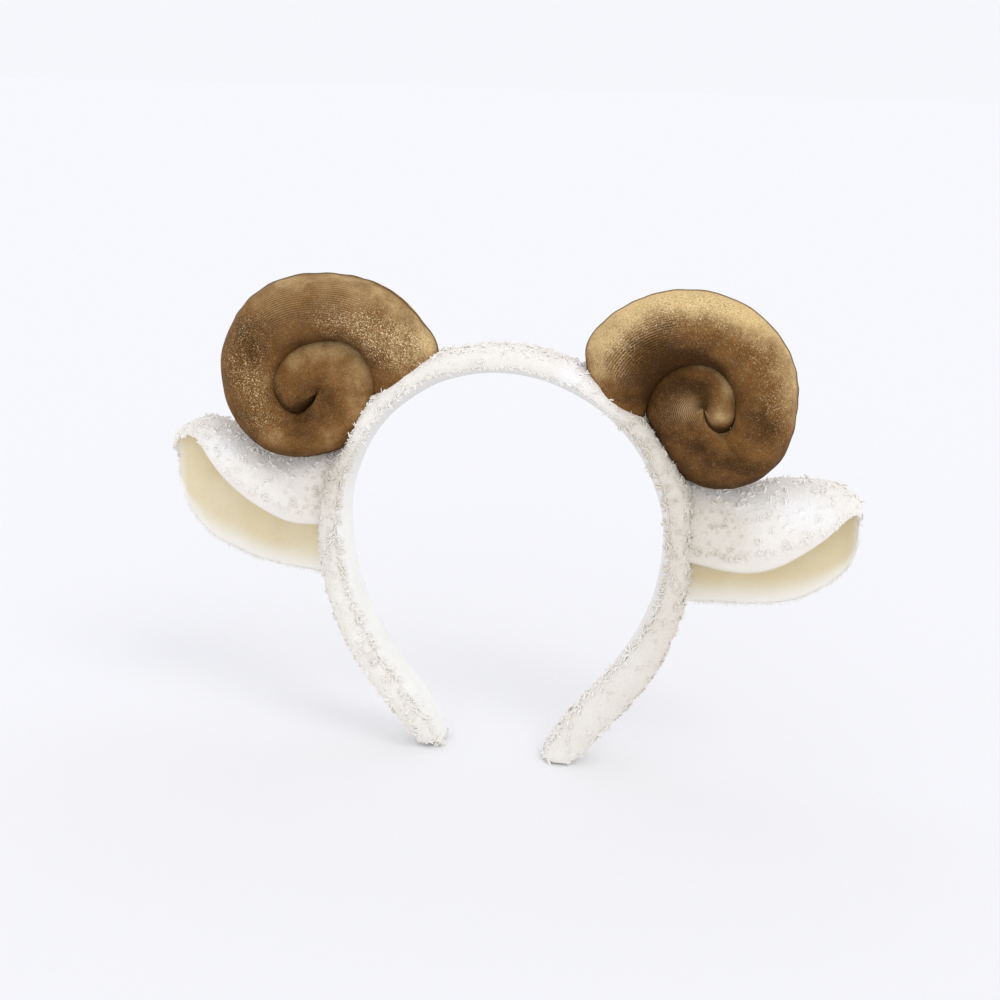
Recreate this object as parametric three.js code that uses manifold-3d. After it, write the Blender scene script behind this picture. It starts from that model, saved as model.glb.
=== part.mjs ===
// Sheep costume headband: a padded hoop in white plush with a smooth lining on its head side,
// two stuffed velvet ram horns curled flat on its shoulders, and two folded ears at its sides.
// Millimetres, +Z up, +Y to the back. It stands on its two tips with the floor at Z = 0.
import * as THREE from "three";
import { mergeVertices } from "three/addons/utils/BufferGeometryUtils.js";
import Module from "manifold-3d";

const wasm = await Module();
wasm.setup();

// Driving dimensions

const clearance = 0.3; // between a piece and the one it is sewn to

const hoop = {
  archRadius: 62.3, // head side of the arch over the crown
  archHeight: 95.2, // centre of that arch above the floor
  legRadius: 90, // head side of each leg's inward bend
  legBend: 38, // slope of a leg at its tip, in degrees from upright
  sunk: 7, // length of leg past the floor before the foot is cut flat
  squareness: 2.3, // exponent of the padded section, 2 being an ellipse
  liningReach: 66, // half of the section's turn that the lining covers, in degrees
  liningThick: 1.2,
  liningLift: 4, // height of the lining's ends above the floor
};

// Padded section along each half of the hoop: along runs from the crown (0) to the tip (1), shift
// moves the section outwards where a tip turns away from the head, and turn rolls the section about
// the hoop's own line. Only the right leg is rolled a little.
const hoopSections = [
  { along: 0.0, width: 23.0, thick: 11.6, shift: 0, leftTurn: 0, rightTurn: 0 },
  { along: 0.3, width: 23.5, thick: 12.0, shift: 0, leftTurn: 0, rightTurn: 0 },
  { along: 0.5, width: 24.0, thick: 13.0, shift: 0, leftTurn: 0, rightTurn: 2 },
  { along: 0.72, width: 24.0, thick: 15.2, shift: 0, leftTurn: 0, rightTurn: 8 },
  { along: 0.84, width: 22.8, thick: 15.2, shift: 0, leftTurn: 0, rightTurn: 12 },
  { along: 0.91, width: 20.4, thick: 13.4, shift: 1.4, leftTurn: 0, rightTurn: 12 },
  { along: 0.94, width: 17.0, thick: 11.6, shift: 3.0, leftTurn: 0, rightTurn: 12 },
  { along: 0.965, width: 13.4, thick: 9.6, shift: 5.2, leftTurn: 0, rightTurn: 12 },
  { along: 1.0, width: 8.0, thick: 7.4, shift: 8.4, leftTurn: 0, rightTurn: 12 },
];

// Each horn is a tapering stuffed tube curled about its eye. turn starts towards the crown and
// runs over the top, reach is the tube's centre from the eye, half and deep are its half sizes
// across and through the curl, and lean turns a section away from the eye's direction.
const horns = [
  {
    name: "horn_left",
    side: -1,
    eye: { x: 73.2, z: 146.6 },
    tipRound: 30,
    sections: [
      { turn: 10, reach: 36.8, half: 15.4, deep: 9.0, lean: 28 },
      { turn: 34, reach: 36.6, half: 12.6, deep: 13.0, lean: 12 },
      { turn: 60, reach: 35.6, half: 12.4, deep: 14.0, lean: 3 },
      { turn: 90, reach: 33.2, half: 12.5, deep: 13.6, lean: 0 },
      { turn: 135, reach: 32.0, half: 12.8, deep: 13.0, lean: 0 },
      { turn: 180, reach: 30.4, half: 11.6, deep: 12.2, lean: 0 },
      { turn: 225, reach: 25.0, half: 11.4, deep: 11.5, lean: 0 },
      { turn: 270, reach: 15.4, half: 10.8, deep: 11.0, lean: 0 },
      { turn: 315, reach: 11.4, half: 9.6, deep: 10.6, lean: 0 },
      { turn: 360, reach: 12.6, half: 10.0, deep: 10.4, lean: 0 },
      { turn: 392, reach: 13.2, half: 10.2, deep: 10.2, lean: 0 },
      { turn: 420, reach: 12.6, half: 9.8, deep: 9.9, lean: 0 },
      { turn: 450, reach: 11.0, half: 9.1, deep: 9.5, lean: 0 },
      { turn: 495, reach: 10.0, half: 8.7, deep: 9.0, lean: 0 },
      { turn: 540, reach: 9.2, half: 8.4, deep: 8.4, lean: 0 },
      { turn: 575, reach: 8.0, half: 7.2, deep: 7.4, lean: 0 },
      { turn: 600, reach: 6.8, half: 5.6, deep: 6.0, lean: 0 },
    ],
  },
  {
    name: "horn_right",
    side: 1,
    eye: { x: 75.4, z: 149.4 },
    tipRound: 40,
    sections: [
      { turn: 9, reach: 37.2, half: 15.6, deep: 9.0, lean: 36 },
      { turn: 33, reach: 35.4, half: 14.3, deep: 13.2, lean: 14 },
      { turn: 60, reach: 32.6, half: 13.9, deep: 14.2, lean: 3 },
      { turn: 90, reach: 30.0, half: 13.0, deep: 13.8, lean: 0 },
      { turn: 135, reach: 26.0, half: 11.9, deep: 13.2, lean: 0 },
      { turn: 180, reach: 23.4, half: 10.7, deep: 12.4, lean: 0 },
      { turn: 225, reach: 24.2, half: 10.4, deep: 11.8, lean: 0 },
      { turn: 270, reach: 19.2, half: 11.4, deep: 11.2, lean: 0 },
      { turn: 315, reach: 12.9, half: 9.6, deep: 10.6, lean: 0 },
      { turn: 350, reach: 12.5, half: 9.5, deep: 10.1, lean: 0 },
      { turn: 375, reach: 12.0, half: 8.6, deep: 9.7, lean: 0 },
      { turn: 405, reach: 11.4, half: 7.5, deep: 9.2, lean: 0 },
      { turn: 450, reach: 10.0, half: 6.5, deep: 8.4, lean: 0 },
      { turn: 495, reach: 7.9, half: 6.0, deep: 7.8, lean: 0 },
      { turn: 540, reach: 6.5, half: 5.8, deep: 7.4, lean: 0 },
      { turn: 585, reach: 6.1, half: 6.3, deep: 7.0, lean: 0 },
      { turn: 635, reach: 4.4, half: 5.2, deep: 6.2, lean: 0 },
    ],
  },
];

// Each ear is a leaf folded along its length with the fold on top. out is the distance from the
// headband's middle plane, fold, front and back are the heights of the fold and of the two flaps'
// lower edges, and foldY, frontY and backY are how far back each of them lies.
const ears = [
  {
    name: "ear_left",
    side: -1,
    sections: [
      { out: 69, fold: 112.0, front: 93.0, back: 67.4, foldY: 6.5, frontY: -4.0, backY: 9.0 },
      { out: 76, fold: 113.4, front: 91.5, back: 67.4, foldY: 7.0, frontY: -5.0, backY: 9.8 },
      { out: 86, fold: 114.6, front: 91.0, back: 68.0, foldY: 8.5, frontY: -6.0, backY: 10.5 },
      { out: 96, fold: 116.0, front: 94.5, back: 68.8, foldY: 10.0, frontY: -6.5, backY: 10.9 },
      { out: 105, fold: 121.5, front: 100.8, back: 70.6, foldY: 10.4, frontY: -6.0, backY: 10.9 },
      { out: 113, fold: 126.0, front: 108.0, back: 73.4, foldY: 9.0, frontY: -4.6, backY: 10.6 },
      { out: 120, fold: 128.2, front: 116.2, back: 76.8, foldY: 7.0, frontY: -2.4, backY: 9.8 },
      { out: 126, fold: 128.0, front: 123.0, back: 81.5, foldY: 5.0, frontY: 0.0, backY: 8.6 },
      { out: 131, fold: 125.6, front: 123.4, back: 88.0, foldY: 3.8, frontY: 1.0, backY: 7.4 },
      { out: 134.4, fold: 122.2, front: 120.8, back: 95.6, foldY: 3.2, frontY: 1.2, backY: 6.2 },
      { out: 136.2, fold: 118.4, front: 117.2, back: 105.0, foldY: 2.8, frontY: 1.2, backY: 5.2 },
    ],
  },
  {
    name: "ear_right",
    side: 1,
    sections: [
      { out: 69, fold: 112.0, front: 89.0, back: 68.4, foldY: 6.5, frontY: -4.0, backY: 9.0 },
      { out: 76, fold: 113.2, front: 88.4, back: 68.4, foldY: 7.0, frontY: -5.0, backY: 9.8 },
      { out: 86, fold: 114.6, front: 87.1, back: 68.6, foldY: 8.5, frontY: -6.5, backY: 10.6 },
      { out: 97, fold: 116.6, front: 86.9, back: 69.0, foldY: 10.0, frontY: -7.0, backY: 10.9 },
      { out: 107, fold: 119.0, front: 90.8, back: 70.4, foldY: 10.0, frontY: -7.0, backY: 10.9 },
      { out: 116, fold: 119.2, front: 96.7, back: 73.2, foldY: 8.6, frontY: -6.0, backY: 10.6 },
      { out: 124, fold: 118.2, front: 103.4, back: 78.2, foldY: 6.6, frontY: -4.4, backY: 9.8 },
      { out: 130, fold: 116.0, front: 110.0, back: 83.6, foldY: 4.6, frontY: -2.0, backY: 8.6 },
      { out: 134, fold: 113.6, front: 111.8, back: 89.2, foldY: 3.4, frontY: 0.4, backY: 7.2 },
      { out: 136.2, fold: 110.4, front: 109.2, back: 97.0, foldY: 2.8, frontY: 0.8, backY: 5.6 },
    ],
  },
];

const earPlushThick = 2.6;
const earLiningThick = 1.2;
const earLiningInset = 1.2; // how far the lining stops short of the plush at the leaf's edge

// Counts of facets
const hoopSteps = 46;
const plushSteps = 10;
const liningSteps = 5;
const hornStep = 15; // degrees of turn between a horn's rings
const hornSides = 14;
const earSteps = 14;
const flapSteps = 6;

const finishes = {
  plush: new THREE.MeshStandardMaterial({ color: 0xf1eeea, roughness: 0.95, metalness: 0 }),
  hoopLining: new THREE.MeshStandardMaterial({ color: 0xece9e4, roughness: 0.85, metalness: 0 }),
  earLining: new THREE.MeshStandardMaterial({ color: 0xdcd3b4, roughness: 0.9, metalness: 0 }),
  velvet: new THREE.MeshStandardMaterial({ color: 0x8a6430, roughness: 0.6, metalness: 0 }),
};

// Geometry helpers

const radians = THREE.MathUtils.degToRad;

// Smooth value of one column of a table at a place given by its first column.
function columnAt(rows, first, column, place) {
  const last = rows.length - 1;
  const found = rows.findIndex((row) => row[first] > place);
  const low = found < 0 ? last - 1 : Math.max(0, found - 1);
  const slope = (i, j) => (rows[j][column] - rows[i][column]) / (rows[j][first] - rows[i][first]);
  const span = rows[low + 1][first] - rows[low][first];
  const share = THREE.MathUtils.clamp((place - rows[low][first]) / span, 0, 1);
  const slopeLow = slope(Math.max(0, low - 1), low + 1) * span;
  const slopeHigh = slope(low, Math.min(last, low + 2)) * span;
  const rest = 1 - share;
  return (
    rows[low][column] * (1 + 2 * share) * rest * rest +
    slopeLow * share * rest * rest +
    rows[low + 1][column] * (3 - 2 * share) * share * share -
    slopeHigh * rest * share * share
  );
}

function rowAt(rows, first, place) {
  const columns = Object.keys(rows[0]);
  return Object.fromEntries(columns.map((name) => [name, columnAt(rows, first, name, place)]));
}

// Evenly spaced numbers from low to high, both included.
function steps(low, high, count) {
  return Array.from({ length: count + 1 }, (_, i) => low + ((high - low) * i) / count);
}

function geometryOf(points, faces) {
  const geometry = new THREE.BufferGeometry().setFromPoints(points);
  geometry.setIndex(faces.flat());
  return geometry;
}

// Closed skin through rings of points, with a fan of faces over each end.
function loftRings(rings) {
  const size = rings[0].length;
  const middle = (ring) =>
    ring.reduce((sum, point) => sum.add(point), new THREE.Vector3()).divideScalar(size);
  const points = [...rings.flat(), middle(rings[0]), middle(rings[rings.length - 1])];
  const lastRing = (rings.length - 1) * size;
  const faces = [];
  for (let side = 0; side < size; side += 1) {
    const next = (side + 1) % size;
    for (let base = 0; base < lastRing; base += size) {
      faces.push([base + side, base + next, base + size + next]);
      faces.push([base + side, base + size + next, base + size + side]);
    }
    faces.push([points.length - 2, next, side]);
    faces.push([points.length - 1, lastRing + side, lastRing + next]);
  }
  return geometryOf(points, faces);
}

// Closed sheet between two grids of points of the same size, a near one and a far one.
function sheetBetween(near, far) {
  const rows = near.length;
  const columns = near[0].length;
  const points = [...near.flat(), ...far.flat()];
  const at = (layer, row, column) => (layer * rows + row) * columns + column;
  const faces = [];
  const quad = (a, b, c, d) => faces.push([a, b, c], [a, c, d]);
  for (let row = 0; row < rows - 1; row += 1) {
    for (let column = 0; column < columns - 1; column += 1) {
      quad(at(0, row, column), at(0, row + 1, column), at(0, row + 1, column + 1), at(0, row, column + 1));
      quad(at(1, row, column), at(1, row, column + 1), at(1, row + 1, column + 1), at(1, row + 1, column));
    }
    quad(at(0, row, 0), at(1, row, 0), at(1, row + 1, 0), at(0, row + 1, 0));
    const end = columns - 1;
    quad(at(0, row, end), at(0, row + 1, end), at(1, row + 1, end), at(1, row, end));
  }
  for (let column = 0; column < columns - 1; column += 1) {
    quad(at(0, 0, column), at(0, 0, column + 1), at(1, 0, column + 1), at(1, 0, column));
    const end = rows - 1;
    quad(at(0, end, column), at(1, end, column), at(1, end, column + 1), at(0, end, column + 1));
  }
  return geometryOf(points, faces);
}

function solidOf(geometry) {
  const bare = geometry.clone();
  bare.deleteAttribute("normal");
  bare.deleteAttribute("uv");
  const merged = mergeVertices(bare);
  const mesh = new wasm.Mesh({
    numProp: 3,
    vertProperties: merged.attributes.position.array,
    triVerts: new Uint32Array(merged.index.array),
  });
  const solid = new wasm.Manifold(mesh);
  if (solid.volume() > 0) return solid;
  const turned = mesh.triVerts.slice();
  for (let i = 0; i < turned.length; i += 3) [turned[i], turned[i + 1]] = [turned[i + 1], turned[i]];
  return new wasm.Manifold(
    new wasm.Mesh({ numProp: 3, vertProperties: mesh.vertProperties, triVerts: turned }),
  );
}

// The largest single body of a solid, so that no loose crumb of a cut is kept.
function mainBody(solid) {
  return solid.decompose().reduce((best, body) => (body.volume() > best.volume() ? body : best));
}

function meshOf(name, solid, material) {
  const { vertProperties, triVerts } = mainBody(solid).getMesh();
  const geometry = new THREE.BufferGeometry();
  geometry.setAttribute("position", new THREE.BufferAttribute(vertProperties, 3));
  geometry.setIndex(new THREE.BufferAttribute(triVerts, 1));
  geometry.computeVertexNormals();
  const mesh = new THREE.Mesh(geometry, material);
  mesh.name = name;
  return mesh;
}

// The hoop

const archLength = (hoop.archRadius * Math.PI) / 2;
const legLength = hoop.legRadius * radians(hoop.legBend);
const bendEndZ = hoop.archHeight - hoop.legRadius * Math.sin(radians(hoop.legBend));
const straightLength = (bendEndZ + hoop.sunk) / Math.cos(radians(hoop.legBend));
const halfLength = archLength + legLength + straightLength;

// Place and outward direction of the hoop's head side, by length from the crown, right half.
function headSide(length) {
  const bend = radians(hoop.legBend);
  if (length <= archLength) {
    const angle = length / hoop.archRadius;
    const out = { x: Math.sin(angle), z: Math.cos(angle) };
    return { x: hoop.archRadius * out.x, z: hoop.archHeight + hoop.archRadius * out.z, out };
  }
  const turned = Math.min((length - archLength) / hoop.legRadius, bend);
  const out = { x: Math.cos(turned), z: -Math.sin(turned) };
  const past = Math.max(0, length - archLength - legLength);
  return {
    x: hoop.archRadius - hoop.legRadius + hoop.legRadius * out.x - past * Math.sin(bend),
    z: hoop.archHeight + hoop.legRadius * out.z - past * Math.cos(bend),
    out,
  };
}

// A frame across the hoop at a signed length: its middle, its outward and back directions, its sizes.
function hoopFrame(length) {
  const side = length < 0 ? -1 : 1;
  const line = headSide(Math.abs(length));
  const sizes = rowAt(hoopSections, "along", Math.abs(length) / halfLength);
  const out = new THREE.Vector3(side * line.out.x, 0, line.out.z);
  const back = new THREE.Vector3(0, 1, 0);
  const middle = sizes.shift + sizes.thick / 2;
  const place = new THREE.Vector3(side * line.x, 0, line.z).addScaledVector(out, middle);
  const along = new THREE.Vector3().crossVectors(out, back);
  const roll = side * radians(side < 0 ? sizes.leftTurn : sizes.rightTurn);
  out.applyAxisAngle(along, roll);
  back.applyAxisAngle(along, roll);
  return { place, out, back, ...sizes };
}

// A point of the padded section, by its turn from the outward direction, moved inwards by inset.
function sectionPoint(frame, turn, inset) {
  const power = 2 / hoop.squareness;
  const rounded = (value) => Math.sign(value) * Math.abs(value) ** power;
  return frame.place
    .clone()
    .addScaledVector(frame.out, (frame.thick / 2 - inset) * rounded(Math.cos(radians(turn))))
    .addScaledVector(frame.back, (frame.width / 2 - inset) * rounded(Math.sin(radians(turn))));
}

const hoopFrames = steps(-halfLength, halfLength, hoopSteps).map(hoopFrame);
const liningEdge = 180 - hoop.liningReach;

function coverSolid(swell) {
  const seat = hoop.liningThick + clearance;
  return solidOf(
    loftRings(
      hoopFrames.map((frame) => [
        ...steps(-liningEdge, liningEdge, plushSteps).map((turn) => sectionPoint(frame, turn, -swell)),
        ...steps(liningEdge, 360 - liningEdge, liningSteps).map((turn) =>
          sectionPoint(frame, turn, seat - swell),
        ),
      ]),
    ),
  );
}

function liningSolid() {
  const edgeGap = 1.6; // degrees of turn that keep the lining clear of the plush seam
  const turns = steps(liningEdge + edgeGap, 360 - liningEdge - edgeGap, liningSteps);
  const layer = (inset) => hoopFrames.map((frame) => turns.map((turn) => sectionPoint(frame, turn, inset)));
  return solidOf(sheetBetween(layer(hoop.liningThick), layer(0)));
}

// Everything above a level, as a block to keep by intersection.
function above(level) {
  const size = 600;
  const block = new THREE.BoxGeometry(size, size, size).translate(0, 0, level + size / 2);
  return solidOf(block);
}

const cover = coverSolid(0).intersect(above(0));
const hoopLining = liningSolid().intersect(above(hoop.liningLift));

// What a horn or an ear has to keep clear of: the padded hoop and the head space inside it.
const hoopSeat = coverSolid(clearance);

function headSpace() {
  const inward = 1;
  const rim = hoopFrames.map((frame) => sectionPoint(frame, 180, inward));
  const shape = new THREE.Shape(rim.map((point) => new THREE.Vector2(point.x, point.z)));
  const depth = 80;
  const block = new THREE.ExtrudeGeometry(shape, { depth, bevelEnabled: false, steps: 1 });
  return solidOf(block.rotateX(Math.PI / 2).translate(0, depth / 2, 0));
}

const hoopKeepOut = hoopSeat.add(headSpace());

// A horn

function hornRing(horn, turn, shrink) {
  const section = rowAt(horn.sections, "turn", turn);
  const angle = radians(turn);
  const lean = radians(turn + section.lean);
  const centre = new THREE.Vector3(
    horn.side * (horn.eye.x - section.reach * Math.cos(angle)),
    0,
    horn.eye.z + section.reach * Math.sin(angle),
  );
  const across = new THREE.Vector3(-horn.side * Math.cos(lean), 0, Math.sin(lean));
  const through = new THREE.Vector3(0, 1, 0);
  return steps(0, 2 * Math.PI, hornSides)
    .slice(0, hornSides)
    .map((side) =>
      centre
        .clone()
        .addScaledVector(across, shrink * section.half * Math.cos(side))
        .addScaledVector(through, shrink * section.deep * Math.sin(side)),
    );
}

function hornSolid(horn) {
  const first = horn.sections[0].turn;
  const last = horn.sections[horn.sections.length - 1].turn;
  const body = steps(first, last - horn.tipRound, Math.round((last - horn.tipRound - first) / hornStep));
  const rings = body.map((turn) => hornRing(horn, turn, 1));
  for (const share of [0.4, 0.7, 0.9, 1]) {
    rings.push(hornRing(horn, last - horn.tipRound * (1 - share), Math.sqrt(1 - (0.96 * share) ** 2)));
  }
  return solidOf(loftRings(rings)).subtract(hoopKeepOut);
}

// An ear

// Points across a folded section, from the front edge over the fold to the back edge.
function earLine(section, inset) {
  const flap = (edgeY, edgeHeight, share) => {
    const part = share < 1 ? share : Math.max(0.88, 1 - inset / (section.fold - edgeHeight));
    return new THREE.Vector2(
      section.foldY + (edgeY - section.foldY) * (1 - (1 - part) ** 2.2),
      section.fold + (edgeHeight - section.fold) * part ** 1.3,
    );
  };
  const shares = steps(0, 1, flapSteps).map((share) => share ** 1.5);
  return [
    ...shares.slice(1).reverse().map((share) => flap(section.frontY, section.front, share)),
    ...shares.map((share) => flap(section.backY, section.back, share)),
  ];
}

// The same line moved away from the fold's inside by a distance.
function offsetLine(line, distance) {
  return line.map((point, i) => {
    const before = line[Math.max(0, i - 1)];
    const after = line[Math.min(line.length - 1, i + 1)];
    const along = after.clone().sub(before).normalize();
    return point.clone().addScaledVector(new THREE.Vector2(-along.y, along.x), distance);
  });
}

// One layer of an ear between two distances from its folded line. Its rim is kept inset from the
// leaf's edge, and an inset layer also stops one station before the leaf's tip.
function earSheet(ear, inner, outer, inset) {
  const first = ear.sections[0].out;
  const last = ear.sections[ear.sections.length - 1].out;
  const stations = steps(0, 1, earSteps).map((share) => first + (last - first) * (1 - (1 - share) ** 1.5));
  const kept = inset > 0 ? stations.slice(0, -1) : stations;
  const layer = (distance) =>
    kept.map((out) =>
      offsetLine(earLine(rowAt(ear.sections, "out", out), inset), distance).map(
        (point) => new THREE.Vector3(ear.side * out, point.x, point.y),
      ),
    );
  return solidOf(sheetBetween(layer(inner), layer(outer))).subtract(hoopKeepOut);
}

function earPieces(ear) {
  const plush = earSheet(ear, clearance, clearance + earPlushThick, 0);
  const lining = earSheet(ear, -earLiningThick, 0, earLiningInset);
  return [
    meshOf(`${ear.name}_plush`, plush, finishes.plush),
    meshOf(`${ear.name}_lining`, lining, finishes.earLining),
  ];
}

// The headband

const headband = new THREE.Group();
headband.name = "sheep_headband";
headband.add(meshOf("band_cover", cover, finishes.plush));
headband.add(meshOf("band_lining", hoopLining, finishes.hoopLining));
for (const horn of horns) headband.add(meshOf(horn.name, hornSolid(horn), finishes.velvet));
for (const ear of ears) headband.add(...earPieces(ear));

export default headband;
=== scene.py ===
import math
import bpy
import numpy as np
from mathutils import Matrix, kdtree
from mathutils.bvhtree import BVHTree


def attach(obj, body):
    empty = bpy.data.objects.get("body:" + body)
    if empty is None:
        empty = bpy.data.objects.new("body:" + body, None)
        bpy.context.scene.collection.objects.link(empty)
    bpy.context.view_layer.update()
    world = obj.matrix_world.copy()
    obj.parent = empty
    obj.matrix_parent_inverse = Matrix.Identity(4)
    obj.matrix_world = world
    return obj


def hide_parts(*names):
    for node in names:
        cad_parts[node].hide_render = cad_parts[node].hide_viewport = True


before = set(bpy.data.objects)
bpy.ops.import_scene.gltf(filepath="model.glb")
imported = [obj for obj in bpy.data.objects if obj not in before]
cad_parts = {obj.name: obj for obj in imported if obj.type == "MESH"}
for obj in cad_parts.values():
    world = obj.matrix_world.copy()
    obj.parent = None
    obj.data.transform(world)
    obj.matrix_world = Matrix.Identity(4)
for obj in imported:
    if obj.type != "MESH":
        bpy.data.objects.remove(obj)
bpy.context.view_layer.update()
mm = 0.001  # the tables are in millimetres, the scene in metres


# working habits shared by all pieces

def startClean():
    if bpy.context.mode != "OBJECT":
        bpy.ops.object.mode_set(mode="OBJECT")
    bpy.ops.object.select_all(action="DESELECT")


def pickOnly(piece):
    startClean()
    piece.select_set(True)
    bpy.context.view_layer.objects.active = piece


def applyModifier(piece, kind, **settings):
    pickOnly(piece)
    bpy.ops.object.modifier_add(type=kind)
    modifier = piece.modifiers[-1]
    for name, value in settings.items():
        setattr(modifier, name, value)
    bpy.ops.object.modifier_apply(modifier=modifier.name)


def verticesOf(piece):
    flat = np.empty(3 * len(piece.data.vertices))
    piece.data.vertices.foreach_get("co", flat)
    return flat.reshape(-1, 3) / mm


def normalsOf(piece):
    flat = np.empty(3 * len(piece.data.vertices), np.float32)
    piece.data.vertex_normals.foreach_get("vector", flat)
    return flat.reshape(-1, 3).astype(float)


def placeVertices(piece, points):
    piece.data.vertices.foreach_set("co", (points * mm).ravel())
    piece.data.update()


# a number for every vertex, which the finishes read
def addValues(piece, name, values):
    layer = piece.data.attributes.new(name, "FLOAT", "POINT")
    layer.data.foreach_set("value", values.astype(np.float32))


# a grid primitive whose points are moved onto a surface, keeping its UV map as the cloth's own
def clothFromGrid(name, across, along, surface):
    startClean()
    bpy.ops.mesh.primitive_grid_add(
        x_subdivisions=across, y_subdivisions=along, size=2, calc_uvs=True)
    piece = bpy.context.object
    piece.name = piece.data.name = name
    share = (verticesOf(piece) / 1000 + 1) / 2
    placeVertices(piece, surface(share[:, 0], share[:, 1]))
    return piece


def noteCut(surface):
    lines = 41
    steps = np.linspace(0, 1, lines)
    across, along = np.meshgrid(steps, steps)
    points = surface(across.ravel(), along.ravel()).reshape(lines, lines, 3)


# joins the two long edges of a tube, closes its ends and turns its faces outwards; a sheet has
# no edges to join and only gets its faces turned the same way
def sewEdges(piece, closeEnds):
    pickOnly(piece)
    bpy.ops.object.mode_set(mode="EDIT")
    bpy.ops.mesh.select_all(action="SELECT")
    bpy.ops.mesh.remove_doubles(threshold=0.02 * mm)
    if closeEnds:
        bpy.ops.mesh.fill_holes(sides=0)
        bpy.ops.mesh.select_all(action="SELECT")
    bpy.ops.mesh.normals_make_consistent(inside=False)
    bpy.ops.object.mode_set(mode="OBJECT")


def smoothShading(piece):
    pickOnly(piece)
    bpy.ops.object.shade_smooth()


# smooth curves through the columns of a table, read at places along its first column
def alongTable(rows, places):
    rows = np.array(rows, float)
    keys, values = rows[:, 0], rows[:, 1:]
    slopes = np.empty_like(values)
    slopes[1:-1] = (values[2:] - values[:-2]) / (keys[2:] - keys[:-2])[:, None]
    slopes[0] = (values[1] - values[0]) / (keys[1] - keys[0])
    slopes[-1] = (values[-1] - values[-2]) / (keys[-1] - keys[-2])
    low = np.clip(np.searchsorted(keys, places, side="right") - 1, 0, len(keys) - 2)
    span = (keys[low + 1] - keys[low])[:, None]
    part = np.clip((places - keys[low])[:, None] / span, 0, 1)
    rest = 1 - part
    return (values[low] * (1 + 2 * part) * rest ** 2
            + slopes[low] * span * part * rest ** 2
            + values[low + 1] * (3 - 2 * part) * part ** 2
            - slopes[low + 1] * span * rest * part ** 2).T


# soft lumps of about the given size, from -1 to 1 or so
def softLumps(points, size, seed):
    waves, calm = 10, 3.2  # the sum of this many waves is divided by calm
    dice = np.random.default_rng(seed)
    total = np.zeros(len(points))
    for _ in range(waves):
        way = dice.normal(size=3)
        way *= 2 * math.pi / (size * dice.uniform(0.8, 1.7) * np.linalg.norm(way))
        total += np.sin(points @ way + dice.uniform(0, 2 * math.pi))
    return total / calm


def unit(vectors):
    return vectors / np.maximum(np.linalg.norm(vectors, axis=-1, keepdims=True), 1e-9)


# material helpers

def newFinish(name, roughness, sheen, sheenRoughness, sheenTint, specular):
    finish = bpy.data.materials.new(name)
    finish.use_nodes = True
    shader = finish.node_tree.nodes["Principled BSDF"]
    shader.inputs["Roughness"].default_value = roughness
    shader.inputs["Specular IOR Level"].default_value = specular
    shader.inputs["Sheen Weight"].default_value = sheen
    shader.inputs["Sheen Roughness"].default_value = sheenRoughness
    shader.inputs["Sheen Tint"].default_value = (*sheenTint, 1)
    return finish, shader


def node(finish, kind, inputs=None, **settings):
    made = finish.node_tree.nodes.new(kind)
    for name, value in settings.items():
        setattr(made, name, value)
    for name, value in (inputs or {}).items():
        if isinstance(value, bpy.types.NodeSocket):
            finish.node_tree.links.new(value, made.inputs[name])
        else:
            made.inputs[name].default_value = value
    return made


def objectNoise(finish, size, detail=2.0, roughness=0.5):
    place = node(finish, "ShaderNodeTexCoord").outputs["Object"]
    return node(finish, "ShaderNodeTexNoise", {
        "Vector": place, "Scale": 1 / (size * mm), "Detail": detail, "Roughness": roughness,
    }).outputs["Fac"]


def ramp(finish, value, low, high, toLow=0.0, toHigh=1.0):
    return node(finish, "ShaderNodeMapRange", {
        "Value": value, "From Min": low, "From Max": high, "To Min": toLow, "To Max": toHigh,
    }, clamp=True, interpolation_type="SMOOTHSTEP").outputs["Result"]


def math2(finish, operation, first, second):
    return node(finish, "ShaderNodeMath", {0: first, 1: second}, operation=operation).outputs[0]


def mixColour(finish, factor, first, second):
    made = node(finish, "ShaderNodeMix", data_type="RGBA", blend_type="MIX")
    for place, value in ((0, factor), (6, first), (7, second)):
        if isinstance(value, bpy.types.NodeSocket):
            finish.node_tree.links.new(value, made.inputs[place])
        else:
            made.inputs[place].default_value = value if place == 0 else (*value, 1)
    return made.outputs[2]


def bump(finish, height, depth, before=None):
    inputs = {"Height": height, "Distance": depth * mm, "Strength": 1}
    if before is not None:
        inputs["Normal"] = before
    return node(finish, "ShaderNodeBump", inputs).outputs["Normal"]


def attribute(finish, name):
    return node(finish, "ShaderNodeAttribute", attribute_name=name).outputs["Fac"]


# X across and Y along a piece's own cloth
def clothUv(finish):
    uv = node(finish, "ShaderNodeTexCoord").outputs["UV"]
    return node(finish, "ShaderNodeSeparateXYZ", {"Vector": uv}).outputs


def fromMiddle(finish, share):
    return math2(finish, "ABSOLUTE", math2(finish, "SUBTRACT", share, 0.5), 0.0)


def wire(finish, value, socket):
    finish.node_tree.links.new(value, socket)


# the padded hoop

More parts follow.
